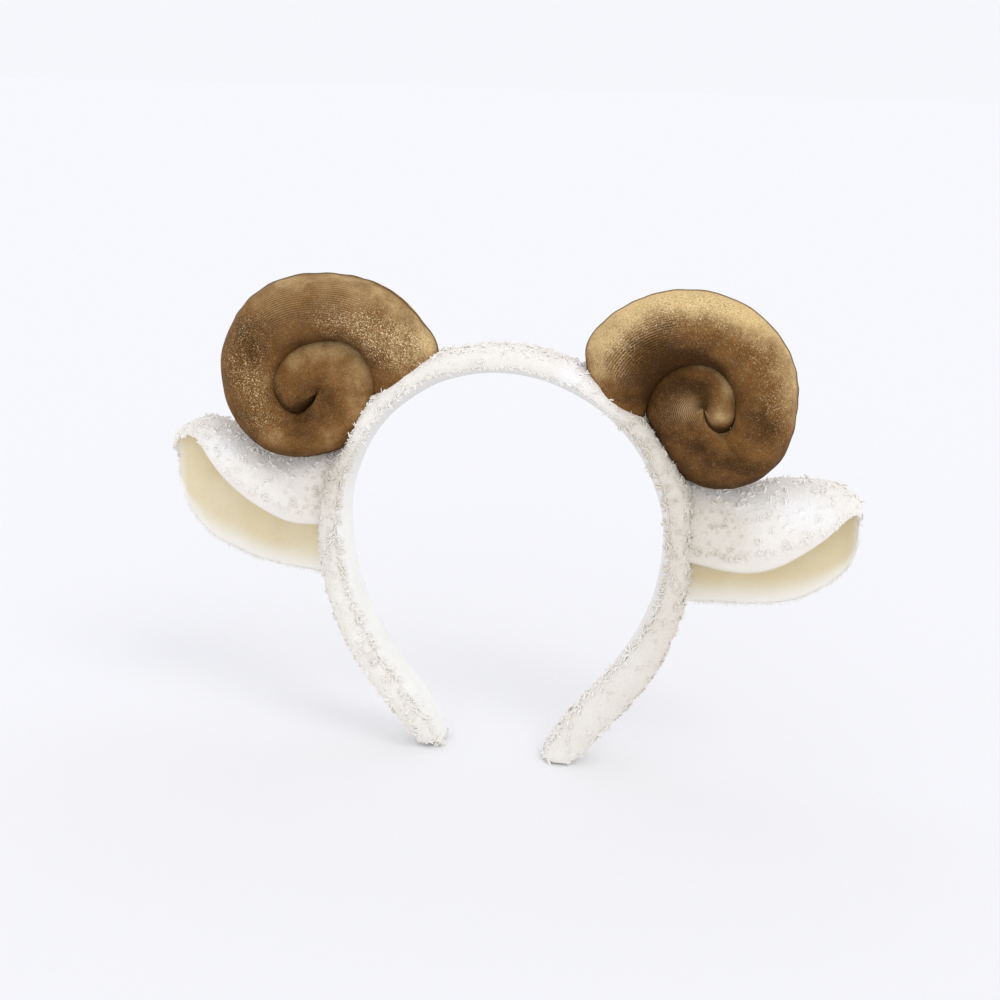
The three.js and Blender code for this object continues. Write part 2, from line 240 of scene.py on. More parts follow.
bandSize = {
    "archRadius": 62.3,  # head side of the arch over the crown
    "archHeight": 95.2,  # centre of that arch above the floor
    "legRadius": 90.0,  # head side of a leg's inward bend
    "legBend": 38.0,  # slope of a leg at its tip
    "sunk": 7.0,  # leg past the floor before the foot is flattened
    "squareness": 2.3,
    "skinInset": 1.3,  # backing cloth under the tips of the pile
    "lumpHeight": 0.35,
    "lumpSizes": (9, 4.5),
    "lumpEnd": 130,  # turn at which the lumps have faded out towards the lining
    "lumpFade": 14,
    "footLift": 0.7,
    "footRound": 1.6,
    "around": 56,
    "alongSteps": 340,
    # along, width, thick, shift, leftTurn, rightTurn
    "sections": [
        (0.00, 23.0, 11.6, 0, 0, 0),
        (0.30, 23.5, 12.0, 0, 0, 0),
        (0.50, 24.0, 13.4, 0, 0, 2),
        (0.72, 24.0, 16.4, 0, 0, 8),
        (0.84, 22.8, 16.4, 0, 0, 12),
        (0.91, 20.4, 14.2, 1.4, 0, 12),
        (0.94, 17.0, 12.0, 3.0, 0, 12),
        (0.965, 13.4, 9.6, 5.2, 0, 12),
        (1.00, 8.0, 7.4, 8.4, 0, 12),
    ],
    # along, then the front seam's turn from the head side on the left and right leg
    "seams": [
        (0.00, 66, 66),
        (0.30, 62, 62),
        (0.50, 54, 56),
        (0.58, 50, 44),
        (0.66, 50, 18),
        (0.74, 52, -8),
        (0.90, 50, -20),
        (1.00, 48, -20),
    ],
    "backSeam": 118,  # turn of the seam behind
    # signed along, depth, length: where a horn presses the padding in or the plush swells over it
    "dents": [
        (-0.325, 3.4, 0.055),
        (-0.14, -1.6, 0.05),
        (0.19, 2.2, 0.04),
        (0.365, -1.2, 0.05),
    ],
    # the left tip stands a little outwards and back and is thinner
    "tipFrom": 0.8,
    "tipOut": 10.0,
    "tipBack": 12.0,
    "tipThin": 3.0,
}

legBend = math.radians(bandSize["legBend"])
archLength = bandSize["archRadius"] * math.pi / 2
legLength = bandSize["legRadius"] * legBend
bendEnd = bandSize["archHeight"] - bandSize["legRadius"] * math.sin(legBend)
halfLength = archLength + legLength + (bendEnd + bandSize["sunk"]) / math.cos(legBend)


# a point of the hoop's section: signed length from the crown, turn from outwards, inset
def hoopPoint(length, turn, inset):
    side = np.where(length < 0, -1.0, 1.0)
    reach = np.abs(length)
    angle = np.minimum(reach, archLength) / bandSize["archRadius"]
    bent = np.clip((reach - archLength) / bandSize["legRadius"], 0, legBend)
    past = np.maximum(0, reach - archLength - legLength)
    onArch = reach <= archLength
    outX = np.where(onArch, np.sin(angle), np.cos(bent))
    outZ = np.where(onArch, np.cos(angle), -np.sin(bent))
    archX = bandSize["archRadius"] * outX
    legX = bandSize["archRadius"] + bandSize["legRadius"] * (outX - 1) - past * math.sin(legBend)
    archZ = bandSize["archHeight"] + bandSize["archRadius"] * outZ
    legZ = bandSize["archHeight"] + bandSize["legRadius"] * outZ - past * math.cos(legBend)
    nothing = np.zeros_like(reach)
    out = np.stack([side * outX, nothing, outZ], 1)
    back = np.stack([nothing, nothing + 1, nothing], 1)
    width, thick, shift, leftTurn, rightTurn = alongTable(bandSize["sections"], reach / halfLength)
    pastTip = (-length / halfLength - bandSize["tipFrom"]) / (1 - bandSize["tipFrom"])
    tip = np.clip(pastTip, 0, 1) ** 2
    thick = thick - bandSize["tipThin"] * tip
    for along, depth, span in bandSize["dents"]:
        thick = thick - depth * np.exp(-((length / halfLength - along) / span) ** 2)
    place = np.stack([side * np.where(onArch, archX, legX), nothing,
                      np.where(onArch, archZ, legZ)], 1) + out * (shift + thick / 2)[:, None]
    roll = side * np.radians(np.where(side < 0, leftTurn, rightTurn))
    tall, flat = np.cos(roll)[:, None], np.sin(roll)[:, None]
    along = np.cross(out, back)
    out, back = (out * tall + np.cross(along, out) * flat,
                 back * tall + np.cross(along, back) * flat)
    power = 2 / bandSize["squareness"]
    cosine, sine = np.cos(np.radians(turn)), np.sin(np.radians(turn))
    outward = (thick / 2 - inset) * np.sign(cosine) * np.abs(cosine) ** power
    backward = (width / 2 - inset) * np.sign(sine) * np.abs(sine) ** power
    place += np.stack([-bandSize["tipOut"] * tip, bandSize["tipBack"] * tip, nothing], 1)
    return place + out * outward[:, None] + back * backward[:, None]


# turn of the front seam, measured like a section's turn (front is negative)
def frontSeam(length):
    left, right = alongTable(bandSize["seams"], np.abs(length) / halfLength)
    return -180 + np.where(length < 0, left, right)


# what would lie under the floor slides back up the leg, so that the foot ends flat and round
def restOnFloor(points, lift):
    soft = bandSize["footRound"]
    above = (points[:, 2] - lift) / soft
    rise = soft * np.logaddexp(0, -above)
    points[:, 0] += np.sign(points[:, 0]) * rise * math.tan(legBend)
    points[:, 2] += rise
    return points


def bandSkinSurface(across, along):
    turn = -180 + 360 * across
    length = halfLength * (2 * along - 1)
    points = hoopPoint(length, turn, np.full_like(turn, bandSize["skinInset"]))
    outer = hoopPoint(length, turn, np.full_like(turn, bandSize["skinInset"] - 1))
    wide, narrow = bandSize["lumpSizes"]
    lumps = 0.6 * softLumps(points, wide, 3) + 0.4 * softLumps(points, narrow, 4)
    plushSide = np.clip((bandSize["lumpEnd"] - np.abs(turn)) / bandSize["lumpFade"], 0, 1)
    points += (outer - points) * (bandSize["lumpHeight"] * lumps * plushSide)[:, None]
    return restOnFloor(points, bandSize["footLift"])


bandSkin = clothFromGrid("bandSkin", bandSize["around"], bandSize["alongSteps"], bandSkinSurface)
sewEdges(bandSkin, closeEnds=True)
smoothShading(bandSkin)
print("band skin", len(bandSkin.data.polygons), "faces")


# smooth lining on the hoop's head side

liningSize = {
    "thick": 1.0,
    "endGap": 14.0,  # length of leg past the lining's end
    "inset": 0.3,  # under the section's outline
    "edgeInset": 0.75,  # how much more along the edges and at the ends
    "endInset": 0.9,
    "underPile": 1,  # degrees that an edge runs on under the curls of its seam
    "edgePower": 6,  # the higher, the narrower the strips that edges and ends take up
    "endPower": 40,
    "pucker": 0.2,  # gathers along the edges
    "puckerLength": 6.5,
    "lumpHeight": 0.18,
    "lumpSize": 22,
    "across": 26,
    "alongSteps": 260,
}

liningEnd = halfLength - liningSize["endGap"]


def bandLiningSurface(across, along):
    length = liningEnd * (2 * along - 1)
    back = bandSize["backSeam"] - liningSize["underPile"]
    front = frontSeam(length) + (360 + liningSize["underPile"])
    turn = back + (front - back) * across
    edge = np.abs(2 * across - 1) ** liningSize["edgePower"]
    end = np.abs(2 * along - 1) ** liningSize["endPower"]
    wave = np.sin(2 * math.pi * length / liningSize["puckerLength"]
                  + 1.7 * np.sin(length / 13) + 2 * np.sign(across - 0.5))
    inset = (liningSize["inset"] + liningSize["edgeInset"] * edge
             + liningSize["pucker"] * edge * wave + liningSize["endInset"] * end)
    points = hoopPoint(length, turn, inset)
    inner = hoopPoint(length, turn, inset + 1)
    lumps = liningSize["lumpHeight"] * softLumps(points, liningSize["lumpSize"], 8)
    return points + (inner - points) * lumps[:, None]


bandLining = clothFromGrid(
    "bandLining", liningSize["across"], liningSize["alongSteps"], bandLiningSurface)
sewEdges(bandLining, closeEnds=False)
noteCut(bandLiningSurface)
applyModifier(bandLining, "SOLIDIFY", thickness=liningSize["thick"] * mm, offset=-1)
smoothShading(bandLining)
print("band lining", len(bandLining.data.polygons), "faces")


# the stuffed velvet horns

hornSize = {
    "press": 1.5,  # how far a coil swells into the one inside it
    "rootPress": 2.4,  # how much more near the root, from this turn on and over so many degrees
    "rootPressEnd": 50,
    "rootPressOver": 30,
    "eyeFrom": 228.0,  # turn from which the inner coil swells past the curl's eye
    "rootRound": 0.82,  # rounding of the outer corner at the root, over this many degrees
    "rootOver": 13.0,
    "seamRidge": 0.35,  # sewn edge along the outside of the curl; widths in degrees around the tube
    "ridgeWidth": 3.0,
    "seamGroove": 0.35,  # on both sides of the ridge
    "grooveFrom": 8,
    "grooveWidth": 5.0,
    "seamPucker": 0.12,
    "puckerWidth": 14,
    "lumpHeight": 0.16,
    "lumpSizes": (17, 7),
    "tipShare": 0.12,  # share of the rings that the round tip gets
    "tipClosed": 0.998,  # how nearly the last ring closes, before its hole is filled
    "rootLength": 5.0,  # degrees that the tube runs on into the hoop
    "rootDepth": 4.5,  # padding left between a horn's root and the head side
    "around": 64,
    "alongSteps": 270,
}

# eye of the curl, how far and over how many degrees the inner coil swells past it, degrees of the
# round tip, then for each ring its turn, reach from the eye, half width, half depth and lean
hornShapes = {
    "hornLeft": {
        "side": -1, "eye": (73.2, 146.6), "eyeFill": 4.0, "eyeOver": 27, "tipRound": 30,
        "node": "horn_left", "seed": 21,
        "sections": [
            (10, 36.4, 15.4, 9.0, 28), (34, 36.2, 12.6, 13.0, 12), (60, 35.3, 12.4, 14.0, 3),
            (90, 32.5, 12.5, 13.6, 0), (135, 31.9, 12.8, 13.0, 0), (180, 30.3, 10.7, 12.2, 0),
            (225, 24.9, 10.6, 11.5, 0), (270, 15.4, 10.8, 11.0, 0), (312, 12.6, 10.8, 10.8, 0),
            (360, 12.8, 10.0, 10.4, 0), (392, 13.2, 10.2, 10.2, 0), (420, 12.6, 9.8, 9.9, 0),
            (450, 11.0, 9.1, 9.6, 0), (495, 10.6, 9.3, 9.8, 0), (540, 10.6, 9.8, 9.8, 0),
            (575, 9.4, 8.8, 9.2, 0), (600, 8.2, 7.2, 8.2, 0),
        ],
    },
    "hornRight": {
        "side": 1, "eye": (75.4, 149.4), "eyeFill": 1.6, "eyeOver": 45, "tipRound": 40,
        "node": "horn_right", "seed": 22,
        "sections": [
            (9, 37.2, 15.6, 9.0, 36), (33, 35.4, 14.3, 13.2, 14), (60, 32.6, 13.9, 14.2, 3),
            (90, 30.0, 13.0, 13.8, 0), (135, 26.0, 11.9, 13.2, 0), (180, 23.4, 10.7, 12.4, 0),
            (225, 24.2, 10.4, 11.8, 0), (270, 19.2, 11.4, 11.2, 0), (315, 12.9, 9.6, 10.6, 0),
            (350, 12.5, 9.5, 10.1, 0), (375, 12.0, 8.6, 9.7, 0), (405, 11.4, 7.5, 9.2, 0),
            (450, 10.0, 6.5, 8.4, 0), (495, 7.9, 6.0, 7.8, 0), (540, 6.5, 5.8, 7.4, 0),
            (585, 6.1, 6.3, 7.0, 0), (635, 4.4, 5.2, 6.2, 0),
        ],
    },
}


def hornSurface(shape):
    first, last = shape["sections"][0][0], shape["sections"][-1][0]
    firm = last - shape["tipRound"]  # where the tip starts to round off

    def surface(across, along):
        # even steps along the tube, then steps that crowd together on the round tip
        tipShare = hornSize["tipShare"]
        onTip = np.clip((along - (1 - tipShare)) / tipShare, 0, 1)
        share = np.sin(onTip * math.pi / 2)
        onBody = np.minimum(along / (1 - tipShare), 1)
        body = first - hornSize["rootLength"] + (firm - first + hornSize["rootLength"]) * onBody
        turn = np.where(onTip > 0, firm + shape["tipRound"] * share, body)
        closing = np.sqrt(np.maximum(0, 1 - (hornSize["tipClosed"] * share) ** 2))
        shrink = np.where(onTip > 0, closing, 1)
        reach, half, deep, lean = alongTable(shape["sections"], turn)
        angle, slant = np.radians(turn), np.radians(turn + lean)
        nothing = np.zeros_like(turn)
        centre = np.stack([shape["side"] * (shape["eye"][0] - reach * np.cos(angle)), nothing,
                           shape["eye"][1] + reach * np.sin(angle)], 1)
        outwards = np.stack([-shape["side"] * np.cos(slant), nothing, np.sin(slant)], 1)
        through = np.stack([nothing, nothing + 1, nothing], 1)
        # a round starts and ends on the seam, which runs along the outside of the curl
        around = 2 * math.pi * across
        fromSeam = np.degrees(np.minimum(around, 2 * math.pi - around))
        beside = (fromSeam - hornSize["grooveFrom"]) / hornSize["grooveWidth"]
        ridge = hornSize["seamRidge"] * np.exp(-(fromSeam / hornSize["ridgeWidth"]) ** 2)
        groove = hornSize["seamGroove"] * np.exp(-beside ** 2)
        # coils are pressed together and the inner one fills the eye, so that nothing shows through
        nearEye = np.clip((turn - hornSize["eyeFrom"]) / shape["eyeOver"], 0, 1)
        nearRoot = np.clip((hornSize["rootPressEnd"] - turn) / hornSize["rootPressOver"], 0, 1)
        fill = np.maximum((reach - half + shape["eyeFill"]) * nearEye,
                          hornSize["press"] + hornSize["rootPress"] * nearRoot)
        centre -= outwards * (fill / 2)[:, None]
        half = half + fill / 2
        # the outer corner is round where the horn is sewn to the hoop
        fromRoot = np.clip((first + hornSize["rootOver"] - turn)
                           / (hornSize["rootOver"] + hornSize["rootLength"]), 0, 1)
        corner = half * (1 - np.sqrt(1 - (hornSize["rootRound"] * fromRoot) ** 2))
        centre -= outwards * (corner / 2)[:, None]
        half = half - corner / 2
        points = (centre + outwards * (shrink * half * np.cos(around))[:, None]
                  + through * (shrink * deep * np.sin(around))[:, None])
        away = unit(points - centre)
        wide, narrow = hornSize["lumpSizes"]
        lumps = (0.7 * softLumps(points, wide, shape["seed"])
                 + 0.3 * softLumps(points, narrow, shape["seed"] + 50))
        wave = np.sin(turn * 2.1 + 3 * np.sin(turn / 17))
        pucker = hornSize["seamPucker"] * wave * np.exp(-(fromSeam / hornSize["puckerWidth"]) ** 2)
        swell = (hornSize["lumpHeight"] * lumps + ridge - groove + pucker) * shrink
        points += away * swell[:, None]
        # the root stays in the hoop's padding
        crown = np.stack([points[:, 0], nothing, points[:, 2] - bandSize["archHeight"]], 1)
        short = bandSize["archRadius"] + hornSize["rootDepth"] - np.linalg.norm(crown, axis=1)
        return points + unit(crown) * np.clip(short, 0, None)[:, None]

    return surface


hornPieces = {}
for name, shape in hornShapes.items():
    horn = clothFromGrid(name, hornSize["around"], hornSize["alongSteps"], hornSurface(shape))
    sewEdges(horn, closeEnds=True)
    smoothShading(horn)
    hornPieces[name] = horn
    print(name, len(horn.data.polygons), "faces")


# the folded ears: a plush leaf with a cream lining inside

earSize = {
    "plushThick": 1.3,
    "liningThick": 0.9,
    "gap": 0.25,
    "frontInset": 0.5,  # how far the plush stays inside the lining's front edge and its free edge
    "freeInset": 1.7,
    "rimRoll": 0.55,  # swelling of the turned edge
    "rimWidth": 2.4,
    "bareRim": 3.6,  # smooth strip along the front edge
    "lumpHeight": 0.5,
    "lumpSize": 21,
    "foldPower": 1.5,  # shape of a line across the fold: first steps, then depth and drop
    "depthPower": 2.2,
    "dropPower": 1.3,
    "tipPower": 1.5,  # how lines crowd together towards the round tip
    "wallWidth": 34.0,  # about how wide a wall is from the fold to its edge, to trim it by
    "rimReach": 30.0,  # the same, to place what lies along an edge
    "across": 34,
    "along": 30,
}

# for each line across the fold: distance out, heights of the fold, the front and the back edge, and
# how far back these three lie
earShapes = {
    "earLeft": {
        "side": -1, "node": "ear_left", "seed": 31,
        "sections": [
            (65, 121.0, 92.8, 67.4, 6.5, -4.0, 9.0), (76, 119.0, 91.6, 67.4, 7.0, -5.0, 9.8),
            (86, 115.6, 92.4, 68.0, 8.5, -6.0, 10.5), (96, 116.6, 96.4, 68.8, 10.0, -6.5, 10.9),
            (105, 121.8, 101.6, 70.6, 10.4, -6.0, 10.9), (113, 127.0, 107.6, 73.4, 9.0, -4.6, 10.6),
            (120, 129.8, 115.2, 76.8, 7.0, -2.4, 9.8), (126, 128.8, 122.4, 81.5, 5.0, 0.0, 8.6),
            (131, 125.6, 123.4, 88.0, 3.8, 1.0, 7.4), (134.4, 122.2, 120.8, 95.6, 3.2, 1.2, 6.2),
            (136.2, 118.4, 117.2, 105.0, 2.8, 1.2, 5.2),
        ],
    },
    "earRight": {
        "side": 1, "node": "ear_right", "seed": 32,
        "sections": [
            (65, 121.0, 89.4, 68.4, 6.5, -4.0, 9.0), (76, 119.0, 88.4, 68.4, 7.0, -5.0, 9.8),
            (86, 116.0, 87.1, 68.6, 8.5, -6.5, 10.6), (97, 117.4, 86.9, 69.0, 10.0, -7.0, 10.9),
            (107, 120.4, 90.4, 70.4, 10.0, -7.0, 10.9), (116, 121.4, 96.0, 73.2, 8.6, -6.0, 10.6),
            (124, 120.8, 102.4, 78.2, 6.6, -4.4, 9.8), (130, 118.6, 108.8, 83.6, 4.6, -2.0, 8.6),
            (134, 115.6, 111.6, 89.2, 3.4, 0.4, 7.2), (136.2, 111.6, 109.6, 97.0, 2.8, 0.8, 5.6),
        ],
    },
}


# a line across the fold: fromFold runs from -1 at the front edge to 1 at the back edge
def earLine(columns, fromFold):
    fold, front, back, foldY, frontY, backY = columns
    part = np.abs(fromFold) ** earSize["foldPower"]
    edgeY, edgeZ = np.where(fromFold < 0, frontY, backY), np.where(fromFold < 0, front, back)
    return np.stack([foldY + (edgeY - foldY) * (1 - (1 - part) ** earSize["depthPower"]),
                     fold + (edgeZ - fold) * part ** earSize["dropPower"]], 1)


def earSurface(shape, distance, frontTrim=0, freeTrim=0):
    first, last = shape["sections"][0][0], shape["sections"][-1][0]

    def surface(across, along):
        trim = np.where(across < 0.5, frontTrim, freeTrim) / earSize["wallWidth"]
        fromFold = (2 * across - 1) * (1 - trim)
        out = first + (last - frontTrim - first) * (1 - (1 - along) ** earSize["tipPower"])
        columns = alongTable(shape["sections"], out)
        step = 0.02  # either way along a line, for its direction
        line = earLine(columns, fromFold)
        run = unit(earLine(columns, np.minimum(fromFold + step, 1))
                   - earLine(columns, np.maximum(fromFold - step, -1)))
        away = np.stack([-run[:, 1], run[:, 0]], 1)
        flat = np.stack([shape["side"] * out, line[:, 0], line[:, 1]], 1)
        lumps = earSize["lumpHeight"] * softLumps(flat, earSize["lumpSize"], shape["seed"])
        # the turned edge swells a little
        edgeGap = (1 - np.abs(fromFold)) * earSize["rimReach"]
        roll = earSize["rimRoll"] * np.exp(-(edgeGap / earSize["rimWidth"]) ** 2) * (distance > 0)
        line = line + away * (distance + lumps + roll)[:, None]
        return np.stack([shape["side"] * out, line[:, 0], line[:, 1]], 1)

    return surface


earPieces = {}
for name, shape in earShapes.items():
    outside = earSurface(shape, earSize["gap"], earSize["frontInset"], earSize["freeInset"])
    inside = earSurface(shape, 0)
    plush = clothFromGrid(name + "Plush", earSize["across"], earSize["along"], outside)
    lining = clothFromGrid(name + "Lining", earSize["across"], earSize["along"], inside)
    for piece, surface, thick, away in ((plush, outside, earSize["plushThick"], 1),
                                        (lining, inside, earSize["liningThick"], -1)):
        # the grid's faces look out of the fold on one side of the headband and into it on the
        # other, so they are turned where the upper part of the fold looks down
        sewEdges(piece, closeEnds=False)
        upwards = (normalsOf(piece)[:, 2] * (verticesOf(piece)[:, 2] > 100)).sum()
        if upwards < 0:
            pickOnly(piece)
            bpy.ops.object.mode_set(mode="EDIT")
            bpy.ops.mesh.select_all(action="SELECT")
            bpy.ops.mesh.flip_normals()
            bpy.ops.object.mode_set(mode="OBJECT")
        noteCut(surface)
        applyModifier(piece, "SOLIDIFY", thickness=thick * mm, offset=away)
        applyModifier(piece, "SUBSURF", levels=1, render_levels=1)
        smoothShading(piece)
    earPieces[name] = (plush, lining)
    print(name, len(plush.data.polygons) + len(lining.data.polygons), "faces")


# curly pile: one small lock, modelled once and set down many times

# how locks lie: length and thickness in mm, flat (height against width), stand (rise against lying
# along the cloth), bend in radians, rings cut into the lock so that it can bend, and how many rise
# together over what spread
lockKinds = {
    "nap": {"length": 1.7, "thick": 0.27, "flat": 0.6, "stand": 0.4, "bend": 0.3, "cuts": []},
    "curl": {"length": 3.4, "thick": 0.36, "flat": 0.8, "stand": 2.0, "bend": 2.4,
             "cuts": [0.3, 0.65], "together": 5, "spread": 0.6},
    "wisp": {"length": 2.7, "thick": 0.15, "flat": 1.0, "stand": 2.2, "bend": 0.8,
             "cuts": [0.55], "together": 3, "spread": 0.35},
    "fringe": {"length": 1.9, "thick": 0.08, "flat": 1.0, "stand": 1.8, "bend": 0.8,
               "cuts": [0.55], "bright": 1},  # the finish paints light on it, so that it is brightest
}

pileSize = {
    "bandSpots": 64800,  # tried all over a piece, of which those that lie right are kept
    "earSpots": 23100,
    "curlGap": 2.5,  # least distance between curls
    "curlSizes": (0.5, 1.15),
    "bandWisps": 900,
    "earWisps": 190,
    "fringeLocks": 520,
    "fringeDepth": 1.0,  # how far inside the edge it starts
    "fringeWay": (0, -1.2, 0.3),  # it leans to the front
    "hemLocks": 3000,
    "hemDepth": (1.3, 3.7),
    "hemSize": 0.7,
    "hemStray": 0.4,
    "depth": 0.25,  # how far a root sits in the cloth
    "hornReach": 6.0,  # a horn further off than this is not in the way
    "hornGap": 0.15,  # least distance from a horn
    "hornLift": 0.8,  # height above a root at which it has to be clear of the horns
    "soleHeight": 1.4,  # nothing grows on the sole, below this height
    "floorGap": 0.05,
    # where it is brushed flat in front: height, and how curly the left and right leg stay there
    "bandCurly": [(50, 0.75, 0.4), (95, 0.9, 0.6), (140, 0.8, 0.7), (165, 0.4, 0.4)],
    "earCurly": 0.72,
}


def modelLock(cuts):
    startClean()
    bpy.ops.mesh.primitive_cone_add(
        vertices=3, radius1=1, radius2=0, depth=1, location=(0, 0, 0.5))
    lock = bpy.context.object
    bpy.ops.object.transform_apply(location=True)
    bpy.ops.object.mode_set(mode="EDIT")
    for height in cuts:
        bpy.ops.mesh.select_all(action="SELECT")
        # leaves the new ring selected, which is then widened so that the lock stays full
        bpy.ops.mesh.bisect(plane_co=(0, 0, height), plane_no=(0, 0, 1))
        widen = (1 - 0.45 * height ** 2) / (1 - height)
        bpy.ops.transform.resize(value=(widen, widen, 1))
    bpy.ops.object.mode_set(mode="OBJECT")
    points = verticesOf(lock) * mm
    faces = [tuple(face.vertices) for face in lock.data.polygons]
    bpy.data.objects.remove(lock)
    return points, faces


locks = {name: modelLock(kind["cuts"]) for name, kind in lockKinds.items()}


# random spots on a piece, even over its area: place, normal and UV
def spotsOn(piece, count, dice):
    mesh = piece.data
    mesh.calc_loop_triangles()
    corners = np.empty(3 * len(mesh.loop_triangles), np.int32)
    loops = np.empty_like(corners)
    mesh.loop_triangles.foreach_get("vertices", corners)
    mesh.loop_triangles.foreach_get("loops", loops)
    corners, loops = corners.reshape(-1, 3), loops.reshape(-1, 3)
    uv = np.empty(2 * len(mesh.loops), np.float32)
    mesh.uv_layers[0].data.foreach_get("uv", uv)
    uv = uv.reshape(-1, 2)
    points, normals = verticesOf(piece), normalsOf(piece)
    sides = points[corners]
    area = np.linalg.norm(np.cross(sides[:, 1] - sides[:, 0], sides[:, 2] - sides[:, 0]), axis=1)
    pick = dice.choice(len(area), count, p=area / area.sum())
    mix = dice.random((count, 2))
    mix = np.where(mix.sum(1, keepdims=True) > 1, 1 - mix, mix)
    share = np.stack([1 - mix.sum(1), mix[:, 0], mix[:, 1]], 1)[:, :, None]
    return ((points[corners[pick]] * share).sum(1), unit((normals[corners[pick]] * share).sum(1)),
            (uv[loops[pick]] * share).sum(1))


def alongCloth(ways, normals):
    return unit(ways - normals * (ways * normals).sum(1, keepdims=True))


# picks places that keep a distance from each other
def evenSpots(places, gap):
    tree = kdtree.KDTree(len(places))
    for i, place in enumerate(places):
        tree.insert(place, i)
    tree.balance()
    free = np.ones(len(places), bool)
    kept = []
    for i, place in enumerate(places):
        if free[i]:
            kept.append(i)
            free[[near[1] for near in tree.find_range(place, gap)]] = False
    return np.array(kept)


def lockGroup(kind, roots, normals, ways, sizes):
    return {"kind": kind, "roots": roots, "normals": normals, "ways": ways, "sizes": sizes}


# a few locks that rise together and curl over the same way
def bunches(kind, centres, normals, ways, sizes, dice):
    count = lockKinds[kind]["together"]
    first = unit(np.cross(normals, ways))
    reach = lockKinds[kind]["spread"] * np.sqrt(dice.random((len(centres), count))) * sizes[:, None]
    angle = 2 * math.pi * dice.random((len(centres), count))
    offset = (ways[:, None] * (reach * np.cos(angle))[..., None]
              + first[:, None] * (reach * np.sin(angle))[..., None])
    roots = (centres[:, None] + offset).reshape(-1, 3)
    manyNormals = np.repeat(normals, count, 0)
    manyWays = np.repeat(ways, count, 0) + 0.5 * dice.normal(size=roots.shape)
    manyWays = alongCloth(manyWays, manyNormals)
    return lockGroup(kind, roots, manyNormals, manyWays, np.repeat(sizes, count))


# every lock follows an arc that starts out of the cloth and bends over along its way
def lockMesh(group, dice):
    kind = lockKinds[group["kind"]]
    points, faces = locks[group["kind"]]
    count, size = len(group["roots"]), len(points)
    rise = points[None, :, 2, None]
    length = (kind["length"] * group["sizes"] * dice.uniform(0.7, 1.2, count))[:, None, None]
    thick = (kind["thick"] * dice.uniform(0.75, 1.3, count))[:, None, None]
    lift = np.arctan2(kind["stand"] * dice.uniform(0.6, 1.4, count), 1)[:, None, None]
    bend = (kind["bend"] * dice.uniform(0.6, 1.3, count))[:, None, None]
    up, way = group["normals"][:, None, :], group["ways"][:, None, :]
    turned = lift - bend * rise
    spine = (way * (np.sin(lift) - np.sin(turned)) + up * (np.cos(turned) - np.cos(lift))) / bend
    ahead = way * np.cos(turned) + up * np.sin(turned)
    first = np.cross(group["normals"], group["ways"])[:, None, :]
    second = np.cross(ahead, first)
    body = first * points[None, :, 0:1] + kind["flat"] * second * points[None, :, 1:2]
    placed = group["roots"][:, None, :] - pileSize["depth"] * up + length * spine + thick * body
    low = placed[:, :, 2].min(1, keepdims=True)
    placed[:, :, 2] += np.maximum(pileSize["floorGap"] - low, 0)  # lies on the floor, not under it
    corners = np.array([corner for face in faces for corner in face])
    corners = (np.arange(count)[:, None] * size + corners[None, :]).ravel()
    sides = np.tile([len(face) for face in faces], count)
    fromRoot = np.tile(points[:, 2] + kind.get("bright", 0), count)
    return placed.reshape(-1, 3), corners, sides, fromRoot


def growPile(name, groups, dice):
    made = [lockMesh(group, dice) for group in groups]
    starts = np.cumsum([0] + [len(part[0]) for part in made])
    points, sides, rise = (np.concatenate([part[i] for part in made]) for i in (0, 2, 3))
    corners = np.concatenate([part[1] + start for part, start in zip(made, starts)])
    mesh = bpy.data.meshes.new(name)
    mesh.vertices.add(len(points))
    mesh.vertices.foreach_set("co", (points * mm).ravel())
    mesh.loops.add(len(corners))
    mesh.loops.foreach_set("vertex_index", corners.astype(np.int32))
    mesh.polygons.add(len(sides))
    faceStarts = np.concatenate([[0], np.cumsum(sides)[:-1]])
    mesh.polygons.foreach_set("loop_start", faceStarts.astype(np.int32))
    mesh.update(calc_edges=True)
    mesh.polygons.foreach_set("use_smooth", np.zeros(len(sides), bool))
    piece = bpy.data.objects.new(name, mesh)
    bpy.context.scene.collection.objects.link(piece)
    addValues(piece, "rise", rise)
    print(name, len(corners) - 2 * len(sides), "triangles")
    return piece


def chosen(group, keep):
    return {key: value[keep] if isinstance(value, np.ndarray) else value
            for key, value in group.items()}


depsgraph = bpy.context.evaluated_depsgraph_get()
hornTrees = [BVHTree.FromObject(horn, depsgraph) for horn in hornPieces.values()]


# true for places outside both horns
def clearOfHorns(places):
    clear = np.ones(len(places), bool)
    for tree in hornTrees:
        for i, place in enumerate(places * mm):
            near, normal, _, _ = tree.find_nearest(place, pileSize["hornReach"] * mm)
            if near is not None:
                gap = (place - np.array(near)) @ np.array(normal)
                clear[i] &= gap >= pileSize["hornGap"] * mm
    return clear


def onPlush(length, turn):
    front, back = frontSeam(length), bandSize["backSeam"]
    pastLining = np.abs(length) > liningEnd + 1
    return ((turn > front) & (turn < back)) | (turn - 360 > front) | pastLining


# the rows of curls that lean over the lining's two edges
seamSize = {
    "step": 2.0,  # along a row
    "jitter": 0.7,
    "stray": 0.8,  # how far a curl's way turns from the seam
    "sizes": (0.9, 1.5),
    "backSize": 0.6,
    "crownSize": 0.55,
    "legSize": 1.1,
}


